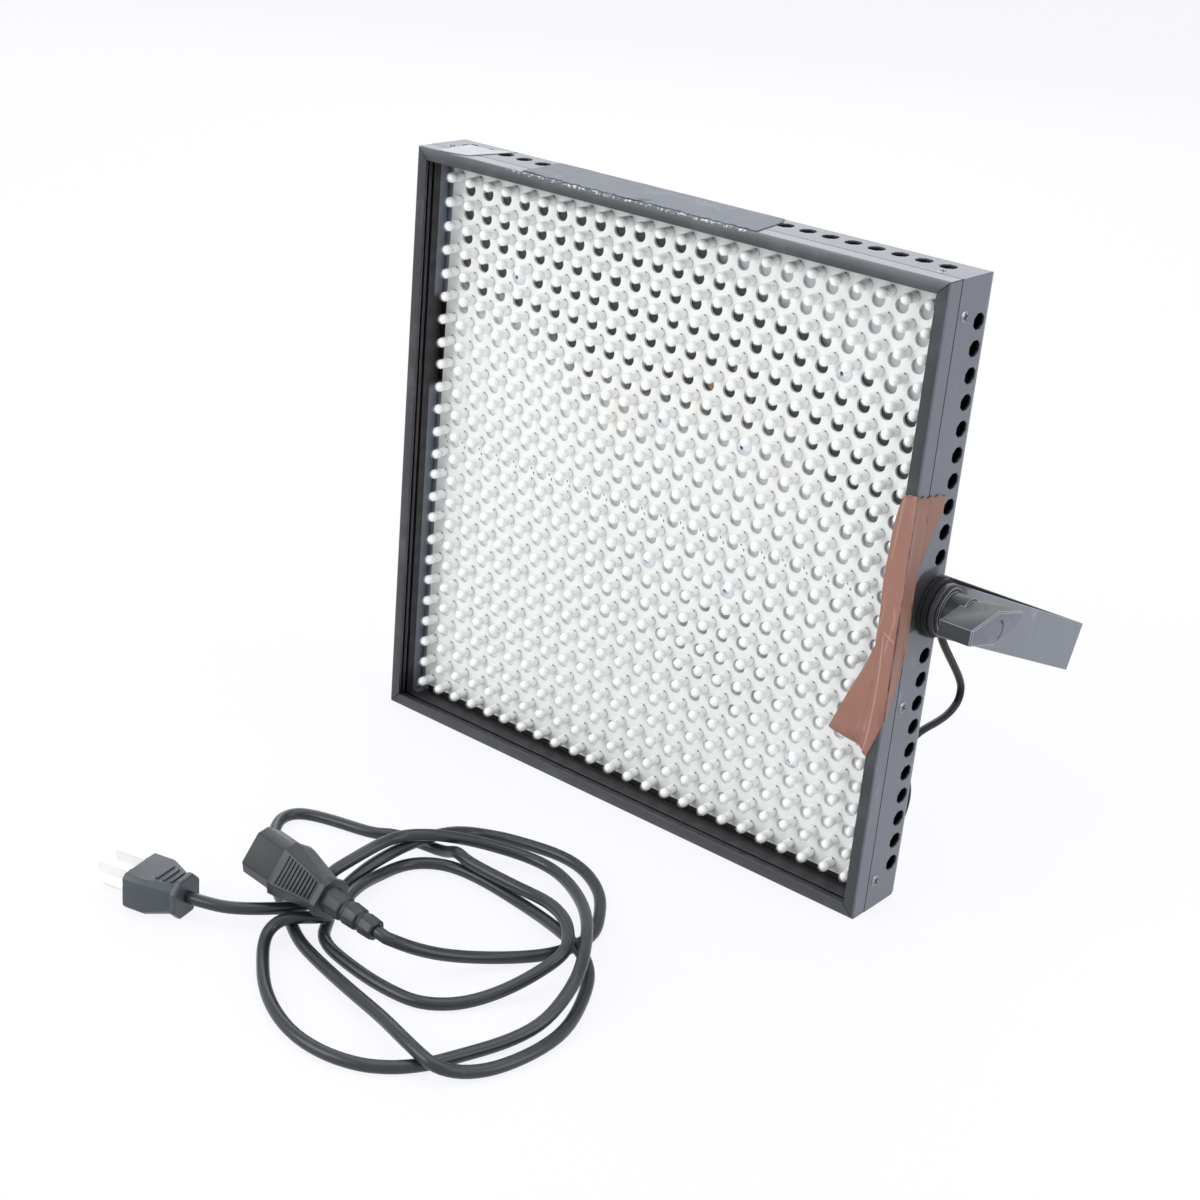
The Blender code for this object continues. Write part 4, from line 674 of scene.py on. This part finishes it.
def led_places():
    for row in range(LED_ROWS):
        for column in range(LED_ROWS):
            yield from_middle(column), HALF + from_middle(row)


def build_board():
    """The board: one cell round each cooling hole, the hole's rim rounded out of the cell's middle."""
    cells = LED_ROWS - 1
    side = cells * LED_PITCH
    bm = bmesh.new()
    bmesh.ops.create_grid(bm, x_segments=cells, y_segments=cells, size=side / 2)
    faces = list(bm.faces)
    inset = LED_PITCH / 2 - HOLE_RADIUS * 0.9
    bmesh.ops.inset_individual(bm, faces=faces, thickness=inset, depth=0.0)
    middles = [(face, face.calc_center_median()) for face in faces]
    rims = [edge for face in faces for edge in face.edges]
    bmesh.ops.subdivide_edges(bm, edges=rims, cuts=3)
    shift = Vector((*HOLE_SHIFT, 0.0))
    for face, middle in middles:
        for vert in face.verts:
            vert.co = middle + shift + (vert.co - middle).normalized() * HOLE_RADIUS
    bmesh.ops.delete(bm, geom=[face for face, _ in middles], context='FACES')
    for vert in bm.verts:
        for axis in (0, 1):
            if abs(abs(vert.co[axis]) - side / 2) < 0.0001:
                vert.co[axis] += math.copysign(LED_PITCH / 2, vert.co[axis])
    thickened(bm, BOARD_THICK)
    stood_at(bm, BOARD_Y)
    board = piece("led_boards", bm, "board", "panel")
    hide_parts("led_board_upper", "led_board_lower")


def build_leds():
    """Clear domed LEDs, a little off square, with a white core painted in for the light seen through
    the resin, and a small dark tick at the foot.
    """
    lens = turned_mesh("led_lens", LED_LENS, 12)
    core = turned_mesh("led_core", LED_CORE, 8)
    tick = turned_mesh("led_tick", LED_TICK, 6)
    lenses = bmesh.new()
    cores = bmesh.new()
    ticks = bmesh.new()
    wobble = random.Random(11)
    for x, z in led_places():
        lean = Vector((wobble.gauss(0.0, LED_LEAN), -1.0, wobble.gauss(0.0, LED_LEAN)))
        centre = Vector((x + LED_SHIFT[0], BOARD_Y, z + LED_SHIFT[1]))
        matrix = facing(centre, lean, wobble.uniform(0.0, math.tau))
        add_copy(lenses, lens, matrix)
        add_copy(cores, core, matrix)
        angle = TICK_ANGLE + wobble.gauss(0.0, 0.08)
        outward = Vector((math.cos(angle), 0.0, math.sin(angle)))
        along = Vector((outward.z, 0.0, -outward.x))
        foot = centre + outward * LED_RADIUS + Vector((0.0, -TICK_HEIGHT, 0.0))
        add_copy(ticks, tick, facing(foot, along))
    for column in range(LED_ROWS):
        for shift, height in SEAM_TICKS:
            place = (from_middle(column) + shift, BOARD_Y - 0.0001, height)
            add_copy(ticks, tick, facing(place, (0.35, 0.0, -1.0)))
    shells = piece("led_lenses", lenses, "lens", "panel", 60.0)
    shells.visible_shadow = False
    piece("led_cores", cores, "core", "panel", 60.0)
    piece("led_ticks", ticks, "lead", "panel", 50.0)


def build_board_screws():
    """Round-head screws that hold the boards, each in one of the cooling holes."""
    head = turned_mesh("board_screw", BOARD_SCREW, 24)
    cross = cross_mesh(*BOARD_CROSS)
    heads = bmesh.new()
    crosses = bmesh.new()
    for row, column in BOARD_SCREW_PLACES:
        place = ((column - MIDDLE_HOLE) * LED_PITCH + HOLE_SHIFT[0], BOARD_Y,
                 HALF + (row - MIDDLE_HOLE) * LED_PITCH + HOLE_SHIFT[1])
        add_copy(heads, head, facing(place, (0, -1, 0)))
        add_copy(crosses, cross, facing(place, (0, -1, 0), 0.5 + row))
    piece("board_screws", heads, "board_screw", "panel", 35.0)
    piece("board_screw_recesses", crosses, "recess_shade", "panel")


def build_film():
    """A thin film just behind the boards, seen through the cooling holes, carrying painted shade and
    reflection.
    """
    bm = bmesh.new()
    bmesh.ops.create_grid(bm, x_segments=1, y_segments=1, size=FILM_SIDE / 2)
    thickened(bm, FILM_THICK)
    stood_at(bm, FILM_Y)
    piece("backing_film_painted_light", bm, "film", "panel")


# Screws

HOUSING_SCREW = ((0.0, 0.9), (1.35, 0.846), (2.4, 0.594), (3.0, 0.18), (3.0, -0.2), (0.0, -0.2))
HOUSING_CROSS = (0.0030, 0.0009)
SIDE_SCREWS = ((0.3033, 0.3), (0.1115, 1.0), (0.0159, 0.6))  # height and turn
SIDE_SCREW_DEPTH = 0.0164
TOP_SCREWS = ((0.148, 0.0142, 0.5), (-0.150, 0.0150, 0.1))  # across, depth and turn
TOP_SCREW_SINK = 0.0004
REAR_SCREW_COLUMNS = (-0.148, 0.0, 0.140)
REAR_SCREW_ROWS = (0.012, 0.309)


def cross_mesh(radius, height):
    """A screw's cross recess as painted shade: two thin dark bars on a head of that radius and height.
    """
    bm = bmesh.new()
    for turn in (0.0, math.pi / 2):
        bar = bmesh.ops.create_cube(bm, size=1.0)["verts"]
        bmesh.ops.scale(bm, vec=(radius * 1.15, radius * 0.26, 0.0003), verts=bar)
        bmesh.ops.rotate(bm, cent=(0, 0, 0), matrix=Matrix.Rotation(turn, 3, 'Z'), verts=bar)
        bmesh.ops.translate(bm, vec=(0, 0, height * 0.92), verts=bar)
    return meshed("screw_cross", bm)


def build_screws():
    """Cross-head screws of the housing: three on each side, two on top, six in the rear plate."""
    head = turned_mesh("screw_head", HOUSING_SCREW, 20)
    cross = cross_mesh(*HOUSING_CROSS)
    heads = bmesh.new()
    crosses = bmesh.new()
    spots = []
    for height, turn in SIDE_SCREWS:
        for side in (1, -1):
            spots.append(((side * HALF, FRONT_Y + SIDE_SCREW_DEPTH, height), (side, 0, 0), turn))
    for x, depth, turn in TOP_SCREWS:
        spots.append(((x, FRONT_Y + depth, TOP_Z - TOP_SCREW_SINK), (0, 0, 1), turn))
    for x in REAR_SCREW_COLUMNS:
        for z in REAR_SCREW_ROWS:
            spots.append(((x, REAR_Y, z), (0, 1, 0), x * 9))
    for place, outward, turn in spots:
        matrix = facing(place, outward, turn)
        add_copy(heads, head, matrix)
        add_copy(crosses, cross, matrix)
    piece("housing_screws", heads, "screw", "panel", 35.0)
    piece("screw_recesses", crosses, "recess_shade", "panel")


# Tape

# The brown tape's inner rim on the front face as (x, z) and its side rim as (depth, z), in mm
TAPE_FRONT_RIM = (
    (158.6, 222.3), (157.2, 221.2), (155.8, 221.9), (154.7, 220.5), (153.6, 220.9),
    (152.2, 215.5), (151.3, 210.3), (150.5, 203.0), (150.2, 195.0), (149.7, 186.0),
    (149.5, 178.0), (149.8, 169.3), (150.3, 163.1), (151.5, 157.0), (153.2, 153.6),
    (151.2, 147.5), (148.4, 139.5), (145.2, 130.6), (141.8, 122.4), (138.7, 114.5),
    (135.6, 105.9), (132.5, 96.7), (134.8, 95.9), (142.3, 94.4), (150.5, 93.2),
    (152.3, 91.8), (152.9, 89.2), (154.5, 88.7), (159.6, 105.0),
)
TAPE_SIDE_RIM = (
    (2.3, 109.6), (5.8, 121.0), (8.4, 131.8), (11.0, 141.9), (9.6, 156.0), (9.3, 167.4),
    (9.9, 184.3), (17.0, 196.5), (24.8, 209.9), (25.2, 217.7), (21.5, 218.0),
    (18.5, 219.6), (15.0, 218.7), (12.0, 220.4), (8.0, 219.7), (5.0, 221.7), (2.4, 221.0),
)
TAPE_TOP = 222.6
TAPE_CORNER_LENGTH = 113.0
TAPE_BULGE = 0.0004
OFF_FACE = 0.00025  # a point farther out than this lies off the panel's face
PINCH_Z = 0.1475
PINCH_REACH = 0.011
PINCH_RISE = 0.0016
PINCH_GRAIN = 0.0055
FREE_END_Z = 0.130
FREE_LENGTH = 0.041
FREE_X = 0.1545
FREE_WIDTH = 0.022
FREE_LIFT = 0.0018
SCRAP = ((-146, 0.8), (-141.5, 0.5), (-135.2, 2.0), (-128.7, 4.1), (-126.0, 18.0), (-122.3, 35.5),
         (-128.0, 31.0), (-134.2, 26.8), (-148.4, 26.7))


def crumpled(bm, rise, size, seed, outward):
    """Lifts the sheet's points off the panel by folds that run with the noise."""
    for vert in bm.verts:
        fold = noise.noise(vert.co / size + Vector((seed, 0.0, 0.0)))
        vert.co += outward(vert.co) * max(0.0, fold) * rise


def off_corner(place):
    """The way out from the panel's front face, from its right face, or from the corner between."""
    beside = 1.0 if place.x > HALF + OFF_FACE else 0.0
    before = 1.0 if place.y < FRONT_Y - OFF_FACE else 0.0
    return Vector((beside, -before, 0.0)).normalized()


def refined(bm, rounds):
    """Splits a sheet's faces into small triangles, all facing one way."""
    bmesh.ops.triangulate(bm, faces=bm.faces)
    for cuts in rounds:
        bmesh.ops.subdivide_edges(bm, edges=bm.edges, cuts=cuts)
        bmesh.ops.triangulate(bm, faces=bm.faces)
    bmesh.ops.recalc_face_normals(bm, faces=bm.faces)


def taped(name, bm, look, node, thick):
    """A strip of tape from a crumpled sheet, in place of a CAD node."""
    tape = piece(name, bm, look, "panel", 60.0)
    mod = tape.modifiers.new("thickness", 'SOLIDIFY')
    mod.thickness = thick
    mod.offset = 1.0
    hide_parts(node)


def build_front_tape():
    """The brown tape, folded round the corner, lifted along creases, its lower end hanging free."""
    corner_x = HALF + TAPE_LIFT
    front = FRONT_Y - TAPE_LIFT
    bm = bmesh.new()
    heights = [TAPE_TOP - TAPE_CORNER_LENGTH * step / 16 for step in range(17)]
    spine = [bm.verts.new((corner_x + TAPE_BULGE, front - TAPE_BULGE, z * MM)) for z in heights]
    front_rim = [bm.verts.new((x * MM, front, z * MM)) for x, z in TAPE_FRONT_RIM]
    side_rim = [bm.verts.new((corner_x, FRONT_Y + d * MM, z * MM)) for d, z in TAPE_SIDE_RIM]
    bm.faces.new([spine[0]] + front_rim + spine[:0:-1])
    bm.faces.new(spine + side_rim)
    refined(bm, (2, 1))
    outward = max(bm.faces, key=lambda face: face.calc_center_median().x).normal.x
    if outward < 0.0:
        bmesh.ops.reverse_faces(bm, faces=bm.faces)
    bmesh.ops.dissolve_degenerate(bm, dist=0.00001, edges=bm.edges)
    crumpled(bm, 0.0005, 0.013, 3.0, off_corner)
    for vert in bm.verts:
        pinch = max(0.0, 1.0 - abs(vert.co.z - PINCH_Z) / PINCH_REACH)
        crease = abs(noise.noise(vert.co / PINCH_GRAIN))
        vert.co += off_corner(vert.co) * pinch * PINCH_RISE * crease
    for vert in bm.verts:
        down = max(0.0, (FREE_END_Z - vert.co.z) / FREE_LENGTH)
        inward = max(0.0, (FREE_X - vert.co.x) / FREE_WIDTH)
        vert.co.y -= FREE_LIFT * min(1.0, down * inward)
    taped("front_tape_sheet", bm, "brown", "front_tape", 0.0003)


def flat_tape(name, outline, look, node, rise, seed):
    """A strip on the top face, its outline as (x, depth) in mm."""
    bm = bmesh.new()
    verts = [bm.verts.new((x * MM, FRONT_Y + d * MM, TOP_Z + 0.00015)) for x, d in outline]
    bm.faces.new(verts)
    refined(bm, (4, 2))
    if next(iter(bm.faces)).normal.z < 0.0:
        bmesh.ops.reverse_faces(bm, faces=bm.faces)
    crumpled(bm, rise, 0.012, seed, lambda place: Vector((0.0, 0.0, 1.0)))
    taped(name, bm, look, node, 0.0002)


def build_top_tapes():
    """The black tape along the top face, its front edge torn, and the white scrap beside it."""
    ragged = random.Random(5)
    front = [(-89.0 + 145.0 * k / 58, 1.1 + ragged.uniform(-0.7, 0.9)) for k in range(59)]
    outline = [(-93, 35.2)] + front + [(51.5, 29), (48, 35.4)]
    flat_tape("top_tape_sheet", outline, "black_tape", "top_tape", 0.0003, 1.0)
    flat_tape("tape_scrap_sheet", SCRAP, "white_tape", "tape_scrap", 0.0002, 7.0)


# Cords

CORD_START = Vector((35.1, -225.2, 23.0)) * MM
CONNECTOR_FORWARD = Vector((-0.9960, 0.0140, 0.0880)).normalized()
CONNECTOR_ACROSS = Vector((0.0, 0.55, 0.83))
PLUG_END = Vector((-60.0, -254.5, 10.1)) * MM
PLUG_FORWARD = Vector((-0.970, -0.243, 0.0)).normalized()
CORD_LEVEL = 3.1
# In mm; a point given without its height lies at CORD_LEVEL, on the ground
CORD_ROUTE = (
    (49.0, -217.2, 17.6), (56.0, -203.5, 11.0), (65, -186, 6.0), (75, -169, 3.6), (82, -156),
    (85, -143), (84, -128), (74, -112), (63, -99), (45, -88), (27, -85), (5, -90), (-16, -99),
    (-21, -119, 9.6), (-25, -141, 9.8), (-25, -159, 9.7), (-26, -172, 7.0), (-24, -190),
    (-16, -203), (-7, -215), (-1, -223), (8, -228), (20, -230.5), (38, -232.5), (56, -232),
    (68, -229), (78, -220), (85, -208, 4.0), (91, -194, 7.0), (96, -180, 12.0), (98, -168, 16.3),
    (90, -155.6, 16.8), (80, -146.5, 16.6), (60, -135, 12.0), (42, -133, 10.0), (24, -133, 9.7),
    (5, -133, 10.0), (-3.5, -130.7, 10.2), (-12, -128.4, 5.6), (-21, -127.4), (-30, -129),
    (-46, -133), (-52, -139), (-69, -144), (-85, -149), (-94, -155), (-95, -164), (-88, -175),
    (-74, -189), (-59, -202), (-43, -213), (-22, -225), (-5, -234.5), (13, -239.5), (38, -246, 4.5),
    (66, -253, 7.0), (82, -259, 9.7), (98, -263, 9.9), (109, -263, 8.0), (116, -254, 4.0),
    (123, -241), (127, -221), (126, -199), (117, -176, 4.0), (108, -161, 7.0), (99, -155, 9.7),
    (82, -148, 9.7), (54, -137, 4.4), (32, -133), (13, -132), (-4, -134), (-15, -141), (-21, -152),
    (-20, -168, 4.5), (-16, -182, 8.0), (-11, -197, 9.7), (-5, -209, 9.7), (-5, -220, 9.7),
    (-11, -229, 10.7), (-16.5, -235.5, 9.3), (-17.5, -242, 6.0), (-13, -249, 3.6), (-4, -257.5),
    (11, -270), (29, -280), (49, -285.8), (68, -285), (82, -280), (89, -275), (95, -269),
    (102, -258), (107, -244), (114, -226, 4.0), (119, -208, 7.0), (117, -190, 11.0),
    (113.5, -176, 16.3), (100.2, -155.4, 16.9), (84, -135, 14.0), (63, -116, 9.0), (40, -103, 6.0),
    (22, -102, 6.0), (4, -111, 9.0), (-8, -123, 13.0), (-17, -136, 16.3), (-26, -148, 16.3),
    (-27, -162, 16.6), (-28, -172, 15.0), (-29, -183, 13.0), (-30, -192, 10.5), (-23, -204, 9.7),
    (-18.5, -213, 9.7), (-19, -222, 9.7), (-25, -230.5, 9.7), (-33, -240, 9.8), (-42, -248, 10.0),
)
CABLE_ROUTE = (
    (150, 25.5, 162), (150, 33, 150), (150, 43.6, 131), (150, 57.5, 115), (150, 69.6, 101.5),
    (150, 74.5, 93.5), (150, 73.8, 86.5), (150, 66.5, 82), (150, 55, 80.5), (149.5, 42, 80),
    (149, 33.6, 77.6), (149.4, 28.9, 70.5), (151.6, 27.3, 61.5), (153.8, 27.3, 53), (153.6, 28, 44),
    (152, 28, 35.5), (150, 25.5, 28),
)


def smooth_curve(points, steps):
    """A centripetal curve through the points."""
    route = [2 * points[0] - points[1]] + list(points) + [2 * points[-1] - points[-2]]
    line = []
    for index in range(1, len(route) - 2):
        p0, p1, p2, p3 = route[index - 1:index + 3]
        t1 = math.sqrt((p1 - p0).length)
        t2 = t1 + math.sqrt((p2 - p1).length)
        t3 = t2 + math.sqrt((p3 - p2).length)
        for step in range(steps):
            t = t1 + (t2 - t1) * step / steps
            a1 = p0 * ((t1 - t) / t1) + p1 * (t / t1)
            a2 = p1 * ((t2 - t) / (t2 - t1)) + p2 * ((t - t1) / (t2 - t1))
            a3 = p2 * ((t3 - t) / (t3 - t2)) + p3 * ((t - t2) / (t3 - t2))
            b1 = a1 * ((t2 - t) / t2) + a2 * (t / t2)
            b2 = a2 * ((t3 - t) / (t3 - t1)) + a3 * ((t - t1) / (t3 - t1))
            line.append(b1 * ((t2 - t) / (t2 - t1)) + b2 * ((t - t1) / (t2 - t1)))
    line.append(points[-1])
    return line


def relaxed(line, rounds, floor):
    """Evens out the small kinks of a line while its ends stay."""
    for _ in range(rounds):
        moved = [(line[i - 1] + line[i] * 2 + line[i + 1]) / 4 for i in range(2, len(line) - 2)]
        line = line[:2] + moved + line[-2:]
    for point in line:
        point.z = max(point.z, floor)
    return line


def tube(name, line, radius, look, node):
    curve = bpy.data.curves.new(name, 'CURVE')
    curve.dimensions = '3D'
    curve.bevel_depth = radius
    curve.bevel_resolution = 5
    curve.use_fill_caps = True
    spline = curve.splines.new('POLY')
    spline.points.add(len(line) - 1)
    for point, place in zip(spline.points, line):
        point.co = (*place, 1.0)
    spline.use_smooth = True
    curve.materials.append(finish(look))
    obj = placed(name, curve)
    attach(obj, "panel")
    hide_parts(node)
    return obj


def length_of(line):
    return sum((b - a).length for a, b in zip(line, line[1:]))


def build_power_cord():
    """The mains lead, from the connector's end round its heap to the plug's end."""
    start = [CORD_START - CONNECTOR_FORWARD * reach for reach in (CORD_GAP, STRAIN_DEPTH)]
    end = [PLUG_END - PLUG_FORWARD * reach for reach in (STRAIN_DEPTH, CORD_GAP)]
    route = start + [Vector((*point, CORD_LEVEL)[:3]) * MM for point in CORD_ROUTE] + end
    line = smooth_curve(route[1:-1], 4)
    line = relaxed([route[0]] + line + [route[-1]], 3, CORD_LEVEL * MM)
    cord = tube("mains_lead", line, CORD_RADIUS, "sheath", "power_cord")
    round(length_of(line), 3)


def build_rear_cable():
    """The cable that hangs behind the panel between its two grommets."""
    route = [Vector(point) * MM for point in ((150, 14.0, 162), *CABLE_ROUTE, (150, 14.0, 28))]
    line = smooth_curve(route[1:-1], 5)
    line = relaxed([route[0]] + line + [route[-1]], 2, CABLE_REST)
    cable = tube("rear_lead", line, CABLE_RADIUS, "rear_sheath", "rear_cable")
    round(length_of(line), 3)


# Ends of the mains lead

GRIP_RIBS = 10
GRIP_START = 0.0370
GRIP_PITCH = 0.0021
COLLAR_START = 0.0345
COLLAR_LENGTH = 0.022
PLUG_RIDGES = 3
RIDGE_START = 0.0058
RIDGE_PITCH = 0.0034
FLARE_START = 0.0034
FLARE_LENGTH = 0.0126


def aligned(origin, forward, across):
    """A frame at origin whose Y runs forward and whose X lies near across."""
    axis_y = forward.normalized()
    axis_z = across.cross(axis_y).normalized()
    axis_x = axis_y.cross(axis_z)
    return Matrix.Translation(origin) @ Matrix((axis_x, axis_y, axis_z)).transposed().to_4x4()


def add_bars(bm, size, along, height):
    """A bar across a moulding's upper side and one across its lower side."""
    for side in (1.0, -1.0):
        bar = bmesh.ops.create_cube(bm, size=1.0)["verts"]
        bmesh.ops.scale(bm, vec=size, verts=bar)
        bmesh.ops.translate(bm, vec=(0, along, side * height), verts=bar)


def moulded_bars(name, bm, look, matrix):
    """Rounds the bars' edges and puts them on their moulding."""
    bmesh.ops.bevel(bm, geom=bm.edges, offset=0.0003, offset_type='OFFSET', segments=2, profile=0.5,
                    affect='EDGES', material=-1)
    bmesh.ops.transform(bm, matrix=matrix, verts=bm.verts)
    return piece(name, bm, look, "panel", 40.0)


def build_connector_grip():
    """Fine ribs across the connector's widening collar, above and below."""
    bm = bmesh.new()
    for rib in range(GRIP_RIBS):
        along = GRIP_START + rib * GRIP_PITCH
        share = (along - COLLAR_START) / COLLAR_LENGTH
        height = (15.5 + 3.1 * share) / 2 * MM
        add_bars(bm, (0.0085 + 0.0065 * share, 0.0010, 0.0010), along, height + 0.0001)
    matrix = aligned(CORD_START, CONNECTOR_FORWARD, CONNECTOR_ACROSS)
    return moulded_bars("connector_grip", bm, "moulding", matrix)


def build_plug_ridges():
    """Three ridges across the plug's top and bottom near its flange."""
    bm = bmesh.new()
    for ridge in range(PLUG_RIDGES):
        along = RIDGE_START + ridge * RIDGE_PITCH
        share = (along - FLARE_START) / FLARE_LENGTH
        width = (16.4 + 10.1 * share) * MM * 0.58
        height = (8.0 + 1.2 * share) * MM
        add_bars(bm, (width, 0.0015, 0.0011), along, height + 0.0002)
    matrix = aligned(PLUG_END, PLUG_FORWARD, Vector((0, 0, 1)).cross(-PLUG_FORWARD))
    return moulded_bars("plug_ridges", bm, "plug", matrix)


# Camera, ground and light

WHITE = (0.975, 0.975, 1.0, 1.0)
FLOOR_WHITENESS = 0.88
LAMPS = (
    ("overhead", (0.1, 0.2, 2.2), (0.0, 0.0, 0.1), (2.2, 2.2), 22.0),
    ("behind_left", (-1.45, 1.85, 1.45), (0.0, 0.0, 0.25), (2.4, 1.6), 20.0),
    ("right_side", (2.2, 0.5, 1.0), (0.1, 0.0, 0.15), (1.6, 1.6), 18.0),
    ("front_left", (-1.0, -2.0, 1.3), (0.0, 0.0, 0.15), (1.8, 1.4), 30.0),
)


def build_camera():
    data = bpy.data.cameras.new("camera")
    data.lens = 61.33
    data.sensor_width = 36.0
    camera = placed("camera", data)
    right = Vector((0.7665, 0.63658, 0.08506))
    down = Vector((0.30966, -0.25029, -0.91731))
    forward = Vector((-0.56266, 0.72946, -0.38897))
    turned = Matrix((right, -down, -forward)).transposed().to_4x4()
    camera.matrix_world = Matrix.Translation((0.58275, -0.79421, 0.52547)) @ turned
    bpy.context.scene.camera = camera


def direct_rays(tree):
    """1 for what the camera sees directly, in a mirror or through clear parts."""
    path = tree.nodes.new("ShaderNodeLightPath")
    total = path.outputs["Is Camera Ray"]
    for name in ("Is Glossy Ray", "Is Transmission Ray"):
        add = tree.nodes.new("ShaderNodeMath")
        add.operation = 'MAXIMUM'
        tree.links.new(total, add.inputs[0])
        tree.links.new(path.outputs[name], add.inputs[1])
        total = add.outputs[0]
    return total


def build_ground():
    """A pale floor that stays white to the camera and keeps a faint shadow."""
    bm = bmesh.new()
    bmesh.ops.create_grid(bm, x_segments=1, y_segments=1, size=6.0)
    mesh = meshed("ground", bm)
    ground = placed("ground", mesh)
    mat = bpy.data.materials.new("ground")
    mat.use_nodes = True
    tree = mat.node_tree
    shader = tree.nodes["Principled BSDF"]
    shader.inputs["Base Color"].default_value = (0.86, 0.86, 0.87, 1.0)
    shader.inputs["Roughness"].default_value = 0.8
    glow = tree.nodes.new("ShaderNodeEmission")
    glow.inputs["Color"].default_value = WHITE
    factor = tree.nodes.new("ShaderNodeMath")
    factor.operation = 'MULTIPLY'
    factor.inputs[1].default_value = FLOOR_WHITENESS
    tree.links.new(direct_rays(tree), factor.inputs[0])
    mix = tree.nodes.new("ShaderNodeMixShader")
    tree.links.new(factor.outputs[0], mix.inputs[0])
    tree.links.new(shader.outputs[0], mix.inputs[1])
    tree.links.new(glow.outputs[0], mix.inputs[2])
    tree.links.new(mix.outputs[0], tree.nodes["Material Output"].inputs["Surface"])
    mesh.materials.append(mat)


def build_world():
    """White to the camera and in mirrors, a little dimmer and cooler as light."""
    world = bpy.data.worlds.new("studio")
    bpy.context.scene.world = world
    world.use_nodes = True
    tree = world.node_tree
    back = tree.nodes["Background"]
    back.inputs["Color"].default_value = (0.93, 0.96, 1.0, 1.0)
    back.inputs["Strength"].default_value = 0.70
    seen = tree.nodes.new("ShaderNodeBackground")
    seen.inputs["Color"].default_value = WHITE
    mix = tree.nodes.new("ShaderNodeMixShader")
    tree.links.new(direct_rays(tree), mix.inputs[0])
    tree.links.new(back.outputs[0], mix.inputs[1])
    tree.links.new(seen.outputs[0], mix.inputs[2])
    tree.links.new(mix.outputs[0], tree.nodes["World Output"].inputs["Surface"])


def soft_lamp(name, place, target, size, power):
    data = bpy.data.lights.new(name, 'AREA')
    data.shape = 'RECTANGLE'
    data.size, data.size_y = size
    data.energy = power
    lamp = placed(name, data)
    lamp.location = place
    lamp.visible_camera = False
    lamp.rotation_euler = (Vector(target) - Vector(place)).to_track_quat('-Z', 'Y').to_euler()


# Everything

# The finish of each CAD node that is seen as it is
NODE_LOOKS = {
    "housing": "housing", "led_carrier": "carrier", "insulating_sheet": "sheet",
    "power_board": "circuit", "transformer": "winding", "filter_capacitor": "sleeve",
    "heat_sink": "aluminium",
    "inlet_socket": "fitting", "inlet_pin_line": "nickel", "inlet_pin_neutral": "nickel",
    "inlet_pin_earth": "nickel", "switch_frame": "fitting", "rocker_switch": "button",
    "dimmer_bush": "zinc", "dimmer_knob": "button", "cable_grommet_upper": "rubber",
    "cable_grommet_lower": "rubber", "washer_steel_left": "washer", "washer_steel_right": "washer",
    "washer_rubber_left": "rubber", "washer_rubber_right": "rubber", "pivot_nut_left": "zinc",
    "pivot_nut_right": "zinc", "plug_blade_left": "plug_pin", "plug_blade_right": "plug_pin",
    "plug_earth_pin": "plug_pin",
}


def build():
    scene = bpy.context.scene
    scene.view_settings.view_transform = 'Standard'
    build_camera()
    build_ground()
    build_world()
    for lamp in LAMPS:
        soft_lamp(*lamp)
    mix_finishes()
    grip = build_connector_grip()
    ridges = build_plug_ridges()
    connector = rounded("cord_connector", "moulding", "panel", 0.0005)
    plug = rounded("mains_plug", "plug", "panel", 0.0006)
    build_power_cord()
    build_rear_cable()
    build_board()
    build_leds()
    build_film()
    build_screws()
    build_front_tape()
    build_top_tapes()
    build_board_screws()
    rounded("clamp_knob_right", "knob", "knob_right", 0.0005, edge_look="knob_edge_highlight")
    rounded("pivot_bolt_left", "zinc", "panel", 0.0003)
    rounded("yoke", "yoke", "yoke", 0.0004, 60.0, "yoke_edge_highlight_and_shade")
    for side in ("top", "bottom", "left", "right"):
        rounded("frame_" + side, "frame", "panel", 0.0002, 40.0)
    for node, look in NODE_LOOKS.items():
        dress(node, look)


build()
